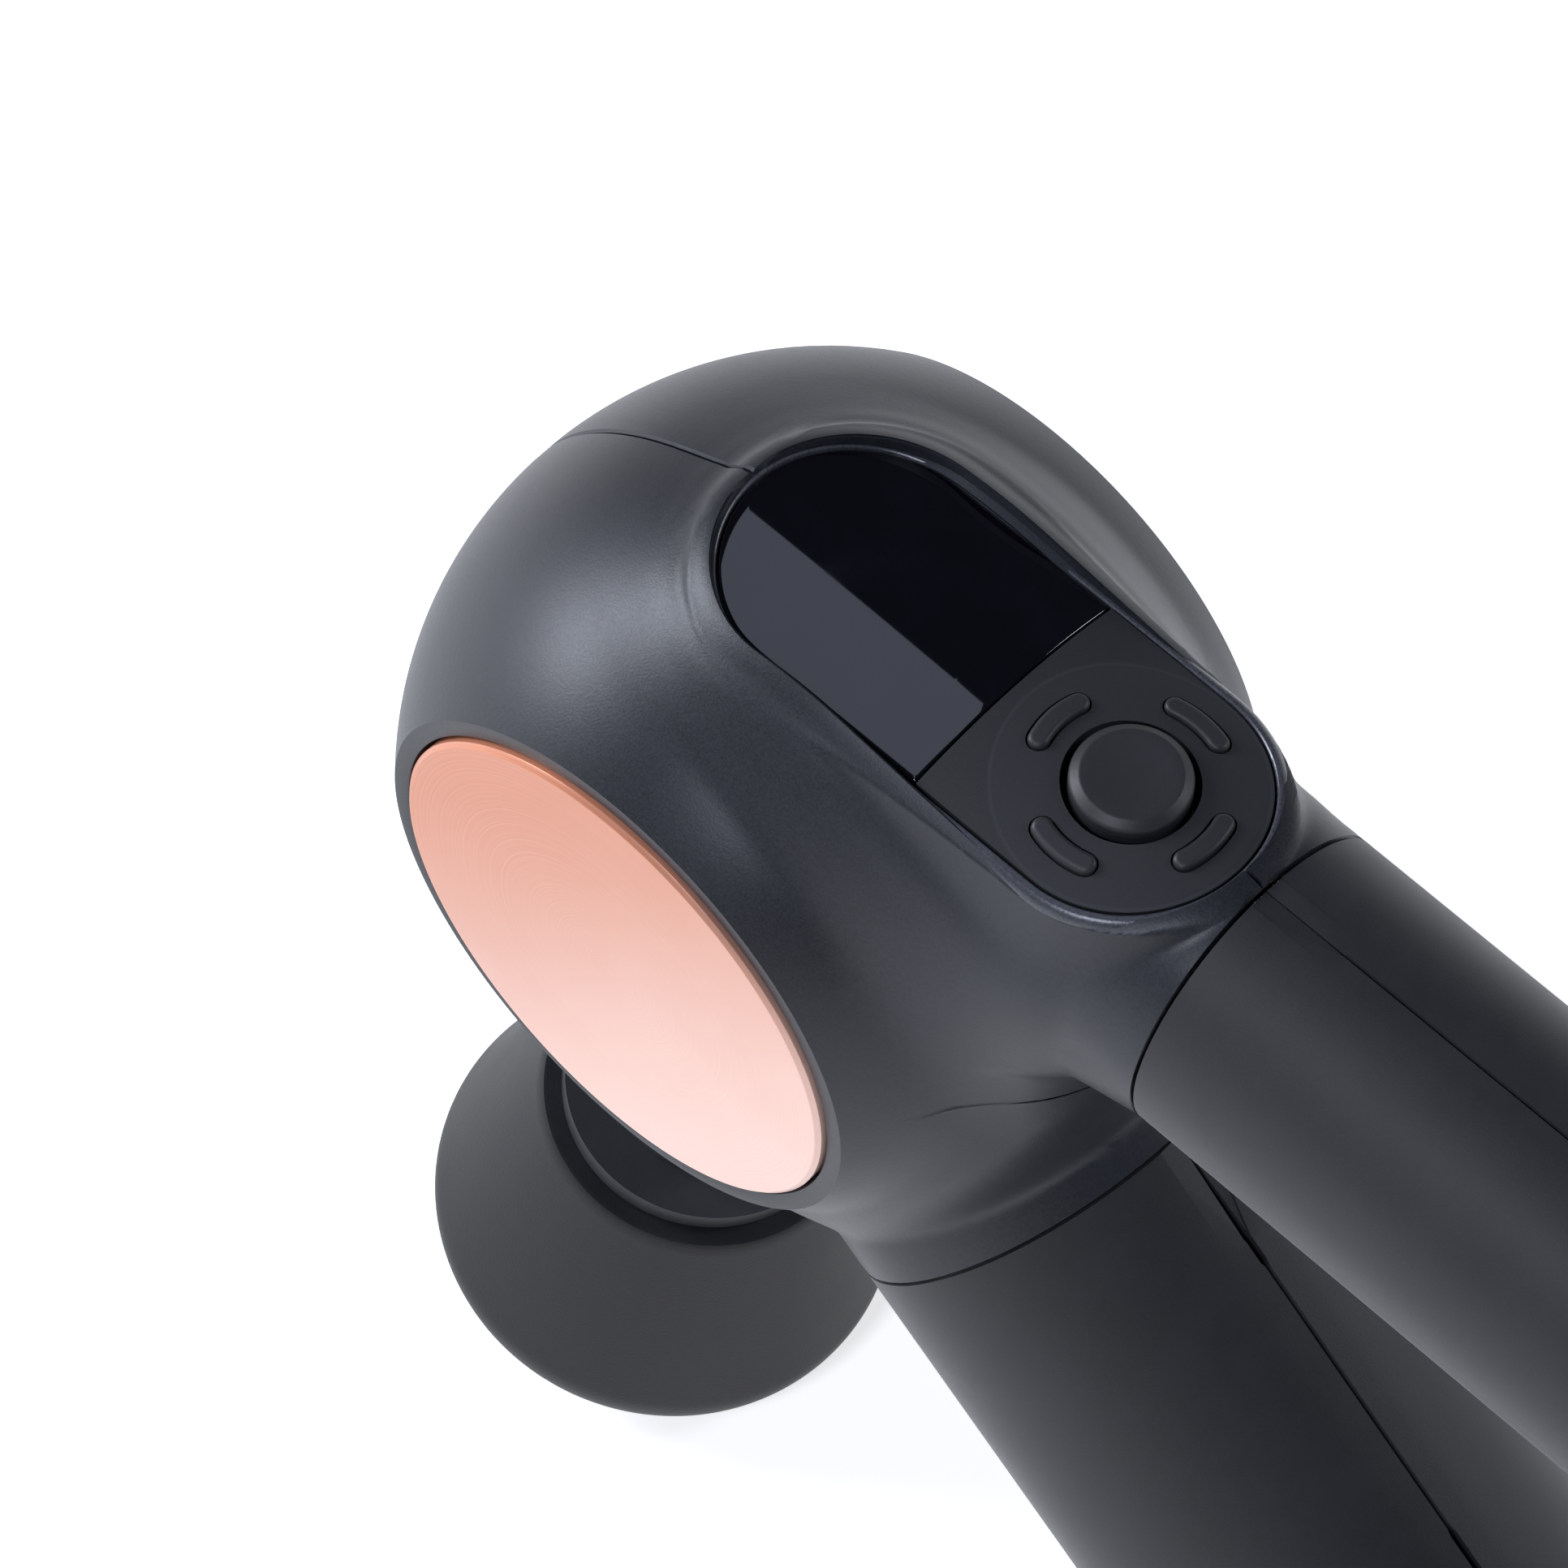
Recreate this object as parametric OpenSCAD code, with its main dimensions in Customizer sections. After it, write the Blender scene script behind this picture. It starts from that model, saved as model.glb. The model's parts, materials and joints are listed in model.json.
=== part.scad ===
// Handheld percussion massager with a triangular loop handle.
// +X runs from the head along the upper arm, +Z is the side with the screen, Y runs across.
// The origin is the middle of the whole tool's box.

/* [Head] */
// Radius of the ball-shaped head
head_r = 46; // [42:0.5:56]
// Half width between the head's two flat sides
head_half_w = 32.4; // [26.6:0.2:39]
// Bare ring around each side cover
land_w = 2.5; // [1.5:0.1:4]
// Wall thickness of every outer casing
wall = 2.6; // [2.2:0.1:3.2]
// Gap at the seam between left and right casings
seam_gap = 0.2; // [0.1:0.05:0.4]
// Gap at each ring seam between head and arms
ring_gap = 0.3; // [0.2:0.05:0.6]
// Depth of the side cover's seat
cover_seat = 1.2; // [0.8:0.1:1.4]
// How far the side cover stands out of the head
cover_rise = 0.8; // [0.4:0.1:1.6]

/* [Control deck] */
// Height of the deck's crest over the top of the ball
deck_rise = 0.75; // [0.5:0.05:3]
// Half width of the screen and of the control pad
deck_r = 14.5; // [12:0.25:17.5]
// Front end of the screen, measured back from the head's centre
screen_front = -11.8; // [-14:0.2:-8]
// Length of the screen
screen_len = 35.8; // [30:0.2:43]
// Length of the control pad
pad_len = 30.5; // [29:0.5:37]
// Width of the raised rim around the deck
rim_w = 1.4; // [1:0.1:2.2]
// Height of the rim over the deck
rim_rise = 0.3; // [0:0.05:0.8]
// Crown radius across the deck
crown_r = 56.5; // [45:0.5:80]
// Bow radius along the deck
bow_r = 700; // [500:10:760]
// Thickness of the screen's glass
lens_t = 1.2; // [0.8:0.1:1.8]
// Thickness of the control pad along its long edges
pad_t = 3.1; // [2.8:0.1:3.6]
// Gap around the screen and the pad
deck_gap = 0.25; // [0.15:0.05:0.4]

/* [Buttons] */
// Radius of the centre button at its foot
centre_r = 6.4; // [5.2:0.1:6.6]
// Radius of the centre button's flat top
centre_top_r = 5.3; // [4:0.1:5.3]
// Height of the centre button over the pad
centre_rise = 1.4; // [0.8:0.1:2.2]
// Radius of the ring on which the four small buttons sit
ring_btn_r = 10.35; // [9.9:0.05:11]
// Length of a small button
ring_btn_len = 8.2; // [6:0.1:9.5]
// Width of a small button
ring_btn_w = 2.3; // [1.6:0.1:2.6]
// Height of a small button over the pad
ring_btn_rise = 0.7; // [0.4:0.1:1.2]
// Gap around every button
button_gap = 0.25; // [0.15:0.05:0.35]
// Travel of every button
button_travel = 0.45; // [0.3:0.05:0.6]

/* [Handle] */
// Radius of the upper and rear arms
upper_r = 18; // [16:0.5:21.6]
// Distance from the pad's rear end to the upper ring seam
upper_seam_gap = 3.6; // [3:0.2:8]
// Angle of the lower arm below the upper arm
lower_angle = 38; // [36:0.5:42]
// Outward offset of the lower arm's axis from the head's centre
lower_offset = 4; // [0:0.25:6]
// Distance from the ball to the lower ring seam
lower_seam_gap = 2.6; // [2:0.2:6]
// Forward lean of the rear arm
rear_lean = 24; // [20:0.5:28]
// Bend radius of the upper rear corner, on the arm's axis
bend_r = 26; // [24:0.5:32]
// Slot length on the lower arm's inner seam
slot_len = 5.7; // [4:0.1:8]
// Slot width
slot_w = 0.8; // [0.5:0.1:1.2]
// Distance between slots
slot_pitch = 43.2; // [30:0.2:46]

/* [Battery] */
// Diameter of a battery cell
cell_d = 18.4; // [18:0.1:21.8]
// Length of a battery cell
cell_len = 65; // [54:0.5:78]
// Room between the cells and the arm's wall
cell_room = 3.07; // [2.5:0.01:4]

/* [Drive] */
// Tilt of the drive axis forward of straight down
drive_tilt = 10; // [6:0.5:14]
// Stroke of the plunger
stroke = 16; // [12:0.4:19.2]
// Length of the connecting rod between its two pins
rod_len = 34; // [32:0.5:38]
// Thickness of the connecting rod
rod_t = 6; // [5:0.25:7]
// Radius of the crank disc and its counterweight
crank_disc_r = 17; // [13:0.25:17]
// Radius of the motor's rotating can
can_r = 22.5; // [20:0.25:23]
// Radius of the motor's shaft
shaft_r = 3; // [2.5:0.1:3.5]
// Radius of the plunger
plunger_r = 7; // [6:0.1:8.4]
// Length of one plunger bushing
bushing_len = 7; // [5:0.25:9]
// Running clearance on the radius of every moving fit
run_gap = 0.05; // [0.03:0.01:0.08]

/* [Attachment] */
// Gap between the nose and the attachment at rest
nose_gap = 3.5; // [2:0.25:6]
// Radius of the post that the attachment slides onto
post_r = 6; // [5:0.1:6.5]
// Length of the post
post_len = 18; // [14:0.5:22]
// Radius of the attachment at its widest
pad_head_r = 27.6; // [23:0.2:33]
// Radius of the attachment where its flare begins
flare_r = 19.2; // [17.5:0.1:20]
// Length of the attachment's cushion
cushion_len = 40; // [33:0.5:48]
// Rounding of the cushion's working edge
cushion_round = 7.5; // [5:0.25:10]

/* [Hidden] */
$fn = 96;
eps = 0.01;
far = 400;

// Head
inner_r = head_r - wall;
inner_half_w = head_half_w - wall;
cover_r = sqrt(head_r * head_r - head_half_w * head_half_w) - land_w;
cover_gap = 0.3;
cover_bevel = 0.5;

// Deck
deck_z = head_r + deck_rise;
border_x = screen_front + screen_len;
screen_x = screen_front + deck_r;
pad_end_x = border_x + pad_len;
pad_x = pad_end_x - deck_r;
deck_mid_x = (screen_front + pad_end_x) / 2 + 7.6;
bow_span = 9;
pad_under_z = deck_z - pow(deck_r, 2) / (2 * crown_r) - 0.15 - pad_t;
key_flange_t = 0.6;
key_z = pad_under_z - 0.35 - key_flange_t;
dome_h = 0.8;
dome_z = key_z - button_travel - 0.1 - dome_h;
board_t = 1.2;
board_z = dome_z - board_t;
tray_t = 2;
ledge_z = board_z - tray_t;
ledge_w = 2.5;
ledge_t = 1.6;
well_wall = 1.6;
key_flange = 0.8;
end_step = 0.04;
well_r = centre_r + 0.8;
pad_centre_z = deck_z - pow(pad_x - deck_mid_x, 2) / (2 * bow_r);
centre_top_z = pad_centre_z + centre_rise;
ring_btn_half = asin((ring_btn_len - ring_btn_w) / 2 / ring_btn_r);

// Handle: every centre line lies in the plane y = 0
upper_z = head_r + 1 - upper_r;
upper_seam_x = pad_end_x + upper_seam_gap;
pack_r = cell_d / 2 * (1 + 2 / sqrt(3));
lower_r = pack_r + cell_room + wall;
lower_seam = head_r + lower_seam_gap;
cell_start = lower_seam + 2.4;
cell_gap = 0.4;
cell_end = cell_start + 2 * cell_len + cell_gap;
corner_s = cell_end - sqrt(pow(lower_r - wall, 2) - pow(pack_r + 0.5, 2));
corner_x = corner_s * cos(lower_angle) - lower_offset * sin(lower_angle);
corner_z = -corner_s * sin(lower_angle) - lower_offset * cos(lower_angle);
bend_z = upper_z - bend_r;
rear_len = (bend_z - bend_r * sin(rear_lean) - corner_z) / cos(rear_lean);
bend_x = corner_x + rear_len * sin(rear_lean) - bend_r * cos(rear_lean);
rear_seam = lower_r + 8;
bend_step = 0.05;
bend_lap = 0.6;
slot_start = lower_seam + 11.5;

// Drive: t is the distance from the head's centre along the drive axis
crank_r = stroke / 2;
wrist_t = rod_len - crank_r;
rod_gap = 0.3;
pin_r = 3;
wrist_r = 2.5;
clevis_r = plunger_r + 2;
clevis_back = 6;
clevis_end = wrist_t + 7;
crank_y = rod_t / 2 + 1.3;
crank_t = 4;
weight_t = 1.3;
can_y = crank_y + crank_t + weight_t + 0.4;
web_t = 1.5;
mount_t = 1.6;
plate_t = 2;
plate_y = inner_half_w - mount_t - plate_t;
can_back = plate_y - 1;
tube_front = can_y + web_t + 0.8;
bearing_r = shaft_r + 4;
bearing_w = (plate_y + plate_t - tube_front) / 5;
tube_r = bearing_r + 2;
can_wall = 1.5;
magnet_t = 1.9;
stator_r = can_r - can_wall - magnet_t - 0.6;
plate_r = can_r + 1;
mount_ring = can_r - 4.5;
bridge_t = wrist_t + 4;
bridge_end = bridge_t + 3.5;
bore_r = clevis_r + 1.5;
sleeve_r = bore_r + 2.5;
bushing_r = plunger_r + 2;
bushing_1 = clevis_end + stroke + 1.5;
bushing_2 = bushing_1 + bushing_len + 4;
sleeve_end = bushing_2 + bushing_len;
seal_t = 1.2;
nose_ring_t = 2;
nose_end = sleeve_end + 0.2 + seal_t + 0.1 + nose_ring_t;
nose_r = sleeve_r + 1.4 + wall;

// Attachment
core_start = nose_end + nose_gap;
post_start = core_start - 1.5;
post_end = post_start + post_len;
sleeve_len = 12;
collar_t = 3;
collar_r = flare_r - 2.4;
cushion_start = core_start + sleeve_len + collar_t + 0.6;
cushion_end = cushion_start + cushion_len;
round_t = cushion_end - cushion_round;
round_r = pad_head_r - cushion_round;
stem_r = post_r + 3;
flare_angle = atan2(round_r - flare_r, round_t - cushion_start)
    + asin(cushion_round / norm([round_r - flare_r, round_t - cushion_start]));

// Charging socket
socket_w = 9.2;
socket_h = 3.4;
socket_depth = 7;
insert_w = 14;
insert_h = 8;

// Fasteners
boss_r = 3.2;
screw_r = 1.4;
screw_head_r = 2.7;
screw_head_t = 1.3;
boss_ring = can_r + 1.6 + boss_r;
head_boss_angles = [45, 135, 205, 315];
mount_angles = [20, 110, 180];
peg_angles = [80, 170, 350];
peg_r = 1.5;
board_start = upper_seam_x + 16;
board_end = bend_x - 14;

// Box of the whole tool, from the outermost rounds on each side
x_high = bend_x + bend_r + upper_r;
x_low = min(-head_r, -round_t * sin(drive_tilt) - round_r * cos(drive_tilt) - cushion_round);
z_high = max(centre_top_z, upper_z + upper_r);
z_low = min(corner_z - lower_r,
    -round_t * cos(drive_tilt) - round_r * sin(drive_tilt) - cushion_round);
mid_x = (x_low + x_high) / 2;
mid_z = (z_low + z_high) / 2;

module placed() { translate([-mid_x, 0, -mid_z]) children(); }

// Frames whose own +Z runs along the drive axis, the lower arm, the upper arm and the rear arm
module along_drive() { rotate([0, 180 + drive_tilt, 0]) children(); }
module along_lower() {
    rotate([0, 90 + lower_angle, 0]) translate([lower_offset, 0, 0]) children();
}
module along_upper() { translate([0, 0, upper_z]) rotate([0, 90, 0]) children(); }
module along_rear() { translate([corner_x, 0, corner_z]) rotate([0, rear_lean, 0]) children(); }

// A frame whose own +Z runs across the tool, towards the right side
module across() { rotate([-90, 0, 0]) children(); }

// Rod across the tool from y = from to y = to, standing at (x, z)
module cross_rod(x, z, r, from, to) {
    translate([x, from, z]) across() cylinder(r = r, h = to - from);
}

// Keeps one side of the seam plane: side is -1 for left and 1 for right
module half(side) {
    intersection() {
        children();
        translate([-far, side > 0 ? seam_gap / 2 : -far - seam_gap / 2, -far])
            cube([2 * far, far, 2 * far]);
    }
}

// Everything below the deck's doubly curved surface, raised by rise
module under_deck(rise) {
    translate([deck_mid_x, 0, deck_z - bow_r]) rotate([90, 0, 0])
        rotate([0, 0, 90 - bow_span / 2]) rotate_extrude(angle = bow_span, $fn = 720)
            translate([bow_r - crown_r, 0]) circle(crown_r + rise, $fn = 180);
}

// Outline of the deck from x1 to x2, with round ends that belong to its two arcs
module deck_outline(grow) {
    union() {
        translate([screen_x, 0]) circle(deck_r + grow);
        translate([pad_x, 0]) circle(deck_r + grow);
        translate([screen_x, -deck_r - grow]) square([pad_x - screen_x, 2 * (deck_r + grow)]);
    }
}

module deck_prism(grow, z1, z2) {
    translate([0, 0, z1]) linear_extrude(z2 - z1) deck_outline(grow);
}

// Outline of one small button, bent around the pad's centre and lying on its +X side. Its
// round ends are a hair slimmer than its middle, so that no edge is tangent to another.
module bean(grow) {
    r1 = ring_btn_r - ring_btn_w / 2 - grow;
    r2 = ring_btn_r + ring_btn_w / 2 + grow;
    reach = 2 * r2;
    union() {
        intersection() {
            difference() { circle(r2); circle(r1); }
            polygon([[0, 0], reach * [cos(ring_btn_half), -sin(ring_btn_half)],
                reach * [1, 0], reach * [cos(ring_btn_half), sin(ring_btn_half)]]);
        }
        for (a = [-ring_btn_half, ring_btn_half])
            rotate(a) translate([ring_btn_r, 0]) circle(ring_btn_w / 2 + grow - end_step);
    }
}

// ---- Casings ----

module head_ball(r, half_w) {
    intersection() {
        sphere(r);
        translate([-far, -half_w, -far]) cube([2 * far, 2 * half_w, 2 * far]);
    }
}

module head_outer() {
    union() {
        head_ball(head_r, head_half_w);
        along_upper() cylinder(r = upper_r, h = upper_seam_x - ring_gap / 2);
        along_lower() cylinder(r = lower_r, h = lower_seam - ring_gap / 2);
        along_drive() cylinder(r = nose_r, h = nose_end);
        intersection() {
            deck_prism(deck_gap + rim_w, upper_z, deck_z + 1);
            under_deck(rim_rise);
        }
    }
}

module head_inner() {
    union() {
        difference() {
            union() {
                head_ball(inner_r, inner_half_w);
                along_upper() cylinder(r = upper_r - wall, h = upper_seam_x + 1);
                along_lower() cylinder(r = lower_r - wall, h = lower_seam + 1);
                along_drive() cylinder(r = nose_r - wall, h = nose_end + 1);
            }
            deck_well();
        }
        deck_prism(deck_gap, ledge_z, deck_z + 3);
    }
}

// Wall around the deck's pocket, with the ledge on which the tray rests
module deck_well() {
    difference() {
        deck_prism(deck_gap + well_wall, ledge_z - ledge_t, deck_z + 3);
        deck_prism(-ledge_w, ledge_z - ledge_t - 1, ledge_z + 1);
    }
}

function boss_at(a) = boss_ring * [cos(a), sin(a)];
function mount_at(a) = mount_ring * [cos(a), sin(a)];
function peg_at(a) = (cover_r - 4) * [cos(a), sin(a)];

module head_shell(side) {
    seat_y = head_half_w - cover_seat;
    color("#2b2d31") placed() half(side) difference() {
        union() {
            difference() { head_outer(); head_inner(); }
            for (a = head_boss_angles) let (p = boss_at(a))
                cross_rod(p[0], p[1], boss_r, -inner_half_w - 1, inner_half_w + 1);
        }
        for (s = [-1, 1]) translate([0, s > 0 ? seat_y : -far - seat_y, 0]) across()
            cylinder(r = cover_r + cover_gap, h = far);
        for (a = peg_angles) let (p = peg_at(a))
            cross_rod(p[0], p[1], peg_r + 0.1, -head_half_w, head_half_w);
        for (a = head_boss_angles) let (p = boss_at(a)) {
            cross_rod(p[0], p[1], screw_r, -inner_half_w + 8, 1);
            cross_rod(p[0], p[1], screw_r + 0.2, 0, head_half_w);
            cross_rod(p[0], p[1], screw_head_r + 0.2, seat_y - screw_head_t, head_half_w);
        }
        for (a = mount_angles) let (p = mount_at(a)) {
            cross_rod(p[0], p[1], screw_r + 0.2, inner_half_w - 1, head_half_w);
            cross_rod(p[0], p[1], screw_head_r + 0.2, seat_y - 1, head_half_w);
        }
    }
}

module head_shell_left() { head_shell(-1); }
module head_shell_right() { head_shell(1); }

// Hollow section of the upper and rear arms, made thinner by step on both faces
module arm_ring(step) {
    difference() { circle(upper_r - step); circle(upper_r - wall + step); }
}

// Upper arm, rear corner bend and rear arm, as one bent tube. The bend's wall is a hair
// thinner than the straight arms, which run a little way over it.
module upper_loop() {
    start = upper_seam_x + ring_gap / 2;
    rear_start = rear_seam + ring_gap / 2;
    union() {
        along_upper() translate([0, 0, start])
            linear_extrude(bend_x + bend_lap - start) arm_ring(0);
        translate([bend_x, 0, bend_z]) rotate([90, 0, 0]) rotate([0, 0, -rear_lean])
            rotate_extrude(angle = 90 + rear_lean) translate([bend_r, 0]) arm_ring(bend_step);
        along_rear() translate([0, 0, rear_start])
            linear_extrude(rear_len + bend_lap - rear_start) arm_ring(0);
    }
}

// Screw posts in the upper loop: places (x, z)
function rear_point(k) = [corner_x + k * sin(rear_lean), corner_z + k * cos(rear_lean)];
function upper_posts() = [[upper_seam_x + 8, upper_z], [bend_x - 8, upper_z], rear_point(rear_len * 0.55)];
function lower_posts() = [rear_point(rear_seam - 5)];

module post_solids(posts, r) {
    for (p = posts) cross_rod(p[0], p[1], boss_r, 1 - r, r - 1);
}

module post_holes(posts, r) {
    for (p = posts) {
        cross_rod(p[0], p[1], screw_r, 6 - r, 1);
        cross_rod(p[0], p[1], screw_r + 0.2, 0, r + 1);
        cross_rod(p[0], p[1], screw_head_r + 0.2, r - wall - screw_head_t, r + 1);
    }
}

module upper_grip(side) {
    color("#2e3035") placed() half(side) difference() {
        union() {
            upper_loop();
            post_solids(upper_posts(), upper_r);
        }
        post_holes(upper_posts(), upper_r);
    }
}

module upper_grip_left() { upper_grip(-1); }
module upper_grip_right() { upper_grip(1); }

// Lower arm with its round far end, and the stub that meets the rear arm
module lower_arm(r, stub_r, over) {
    start = lower_seam + ring_gap / 2 - over;
    union() {
        along_lower() rotate_extrude() union() {
            translate([0, start]) square([r, corner_s - start]);
            intersection() {
                translate([0, corner_s]) circle(r);
                translate([0, corner_s - r / 2]) square([r, 2 * r]);
            }
        }
        along_rear() cylinder(r = stub_r, h = rear_seam - ring_gap / 2 + over);
    }
}

module seam_slots() {
    for (i = [0:2]) along_lower()
        translate([-lower_r - 1, -slot_w / 2, slot_start + i * slot_pitch])
            cube([wall + 2, slot_w, slot_len]);
}

// A frame at the lower arm's far end, +Z pointing out of the arm
module at_socket() { along_lower() translate([0, 0, corner_s + lower_r]) children(); }

module socket_block(w, h, z1, z2) {
    translate([-h / 2, -w / 2, z1]) cube([h, w, z2 - z1]);
}

module lower_grip(side) {
    color("#2e3035") placed() half(side) difference() {
        union() {
            difference() {
                lower_arm(lower_r, upper_r, 0);
                lower_arm(lower_r - wall, upper_r - wall, 1);
            }
            post_solids(lower_posts(), upper_r);
        }
        post_holes(lower_posts(), upper_r);
        seam_slots();
        at_socket() socket_block(insert_w + 0.2, insert_h + 0.2, -socket_depth, 2);
    }
}

module lower_grip_left() { lower_grip(-1); }
module lower_grip_right() { lower_grip(1); }

module side_cover(side) {
    y1 = head_half_w - cover_seat;
    y2 = head_half_w + cover_rise;
    color("#e8a890") placed() mirror([0, side > 0 ? 0 : 1, 0]) union() {
        translate([0, y1, 0]) across() cylinder(r = cover_r, h = y2 - y1 - cover_bevel);
        translate([0, y2 - cover_bevel, 0]) across()
            cylinder(r1 = cover_r, r2 = cover_r - cover_bevel, h = cover_bevel);
        for (a = peg_angles) let (p = peg_at(a)) cross_rod(p[0], p[1], peg_r, y1 - 3, y1 + eps);
    }
}

module side_cover_left() { side_cover(-1); }
module side_cover_right() { side_cover(1); }

// ---- Control deck ----

module display_lens() {
    color("#0b0c10") placed() difference() {
        intersection() {
            deck_prism(0, deck_z - 6, deck_z + 1);
            under_deck(0);
            translate([-far, -far, -far]) cube([far + border_x - deck_gap / 2, 2 * far, 2 * far]);
        }
        under_deck(-lens_t);
    }
}

module display_module() {
    front = screen_front + 6;
    rear = border_x - 2;
    half_w = deck_r - 3;
    drop = half_w * half_w / (2 * crown_r) + pow(front - deck_mid_x, 2) / (2 * bow_r);
    top = deck_z - lens_t - drop - 0.2;
    color("#1a2740") placed() translate([front, -half_w, dome_z])
        cube([rear - front, 2 * half_w, top - dome_z]);
}

// The four small buttons' places around the pad's centre
function button_turn(name) = name == "rear" ? 0 : name == "right" ? 90 : name == "front" ? 180 : 270;

module control_pad() {
    color("#303238") placed() intersection() {
        translate([0, 0, pad_under_z]) linear_extrude(deck_z + 1 - pad_under_z) difference() {
            deck_outline(0);
            translate([screen_x - far, -far]) square([border_x + deck_gap / 2 - screen_x + far, 2 * far]);
            translate([pad_x, 0]) circle(well_r);
            for (a = [0, 90, 180, 270]) translate([pad_x, 0]) rotate(a) bean(button_gap);
        }
        under_deck(0);
    }
}

module centre_button() {
    bevel = centre_r - centre_top_r;
    color("#303238") placed() translate([pad_x, 0, 0]) union() {
        translate([0, 0, key_z]) cylinder(r = centre_r, h = centre_top_z - bevel - key_z);
        translate([0, 0, centre_top_z - bevel])
            cylinder(r1 = centre_r, r2 = centre_top_r, h = bevel);
        translate([0, 0, key_z]) cylinder(r = well_r + key_flange, h = key_flange_t);
    }
}

module small_button(name) {
    color("#303238") placed() union() {
        intersection() {
            translate([pad_x, 0, key_z]) rotate(button_turn(name))
                linear_extrude(deck_z + 3 - key_z) bean(0);
            under_deck(ring_btn_rise);
        }
        translate([pad_x, 0, key_z]) rotate(button_turn(name))
            linear_extrude(key_flange_t) bean(button_gap + 0.3);
    }
}

module front_button() { small_button("front"); }
module rear_button() { small_button("rear"); }
module left_button() { small_button("left"); }
module right_button() { small_button("right"); }

module keypad_board() {
    color("#1f5a3a") placed() deck_prism(-1, board_z, dome_z);
}

module dome_switches() {
    color("#c8ccd0") placed() translate([pad_x, 0, dome_z]) union() {
        cylinder(r1 = 3, r2 = 2, h = dome_h);
        for (a = [0, 90, 180, 270]) rotate(a) translate([ring_btn_r, 0, 0])
            cylinder(r1 = 2, r2 = 1.2, h = dome_h);
    }
}

module deck_tray() {
    color("#3a3c40") placed() difference() {
        deck_prism(0, ledge_z, board_z);
        translate([screen_x, -5, ledge_z - 1]) cube([8, 10, tray_t + 2]);
    }
}

// ---- Motor and crank, all on the cross axis through the head's centre ----

module disc_across(r, y1, y2) { cross_rod(0, 0, r, y1, y2); }

module ring_across(r_out, r_in, y1, y2) {
    difference() {
        disc_across(r_out, y1, y2);
        disc_across(r_in, y1 - 1, y2 + 1);
    }
}

module motor_cradle() {
    color("#a9adb2") placed() difference() {
        union() {
            disc_across(plate_r, plate_y, plate_y + plate_t);
            disc_across(tube_r, tube_front, plate_y + plate_t);
            along_drive() translate([-9, can_back - 4, can_r + 0.7])
                cube([18, plate_y + plate_t - can_back + 4, bridge_end - can_r - 3.5 - 0.7 + eps]);
            along_drive() translate([0, 0, bridge_t])
                cylinder(r = inner_half_w - 4, h = bridge_end - bridge_t);
            along_drive() translate([0, 0, bridge_t]) cylinder(r = sleeve_r, h = sleeve_end - bridge_t);
        }
        disc_across(bearing_r, tube_front - 1, plate_y + plate_t + 1);
        along_drive() translate([0, 0, bridge_t - 1]) cylinder(r = bore_r, h = bushing_1 - bridge_t);
        along_drive() translate([0, 0, bridge_t]) cylinder(r = bushing_r, h = sleeve_end - bridge_t + 1);
        for (a = mount_angles) let (p = mount_at(a))
            cross_rod(p[0], p[1], screw_r, plate_y + 0.4, plate_y + plate_t + 1);
    }
}

module motor_stator() {
    color("#6d7075") placed() ring_across(stator_r, tube_r, tube_front + 2, can_back - 3);
}

// Twelve coil heads on each face of the stator
module stator_coils() {
    ring = (stator_r + tube_r) / 2;
    color("#b4693a") placed() for (i = [0:11]) for (y = [tube_front, can_back - 3])
        cross_rod(ring * cos(30 * i), ring * sin(30 * i), 2.1, y + 0.5, y + 2);
}

module rotor_can() {
    color("#8c9096") placed() difference() {
        disc_across(can_r, can_y, can_back);
        disc_across(can_r - can_wall, can_y + web_t, can_back + 1);
        disc_across(shaft_r, can_y - 1, can_back + 1);
    }
}

module rotor_magnets() {
    outer = can_r - can_wall;
    color("#4b4e54") placed()
        ring_across(outer, outer - magnet_t, can_y + web_t, can_back - 1);
}

module motor_shaft() {
    color("#d5d8dc") placed() disc_across(shaft_r, crank_y, plate_y + plate_t - 0.5);
}

module shaft_bearings() {
    back = plate_y + plate_t - 0.5;
    color("#c3c7cc") placed() for (y = [tube_front, back - bearing_w])
        ring_across(bearing_r, shaft_r + run_gap, y, y + bearing_w);
}

module crank_disc() {
    color("#b9bdc2") placed() difference() {
        disc_across(crank_disc_r, crank_y, crank_y + crank_t);
        disc_across(shaft_r, crank_y - 1, crank_y + crank_t + 1);
        along_drive() translate([0, 0, -crank_r]) cross_rod(0, 0, pin_r, 0, far);
    }
}

module counterweight() {
    color("#7d6a3c") placed() intersection() {
        ring_across(crank_disc_r, shaft_r + 2.5, crank_y + crank_t, crank_y + crank_t + weight_t);
        along_drive() translate([-far / 2, 0, pin_r]) cube([far, far, far]);
    }
}

// The pin stops one clearance short of the rod, because the linkage is open here
module crank_pin() {
    color("#d5d8dc") placed() along_drive()
        cross_rod(0, -crank_r, pin_r, rod_t / 2 + rod_gap, crank_y + crank_t);
}

module connecting_rod() {
    color("#9ba0a6") placed() along_drive() difference() {
        union() {
            cross_rod(0, -crank_r, pin_r + 4.5, -rod_t / 2, rod_t / 2);
            cross_rod(0, wrist_t, wrist_r + 3, -rod_t / 2, rod_t / 2);
            translate([-3, -rod_t / 2 + 0.5, -crank_r]) cube([6, rod_t - 1, rod_len]);
        }
        cross_rod(0, -crank_r, pin_r + 2.5, -rod_t, rod_t);
        cross_rod(0, wrist_t, wrist_r + run_gap, -rod_t, rod_t);
    }
}

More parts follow.
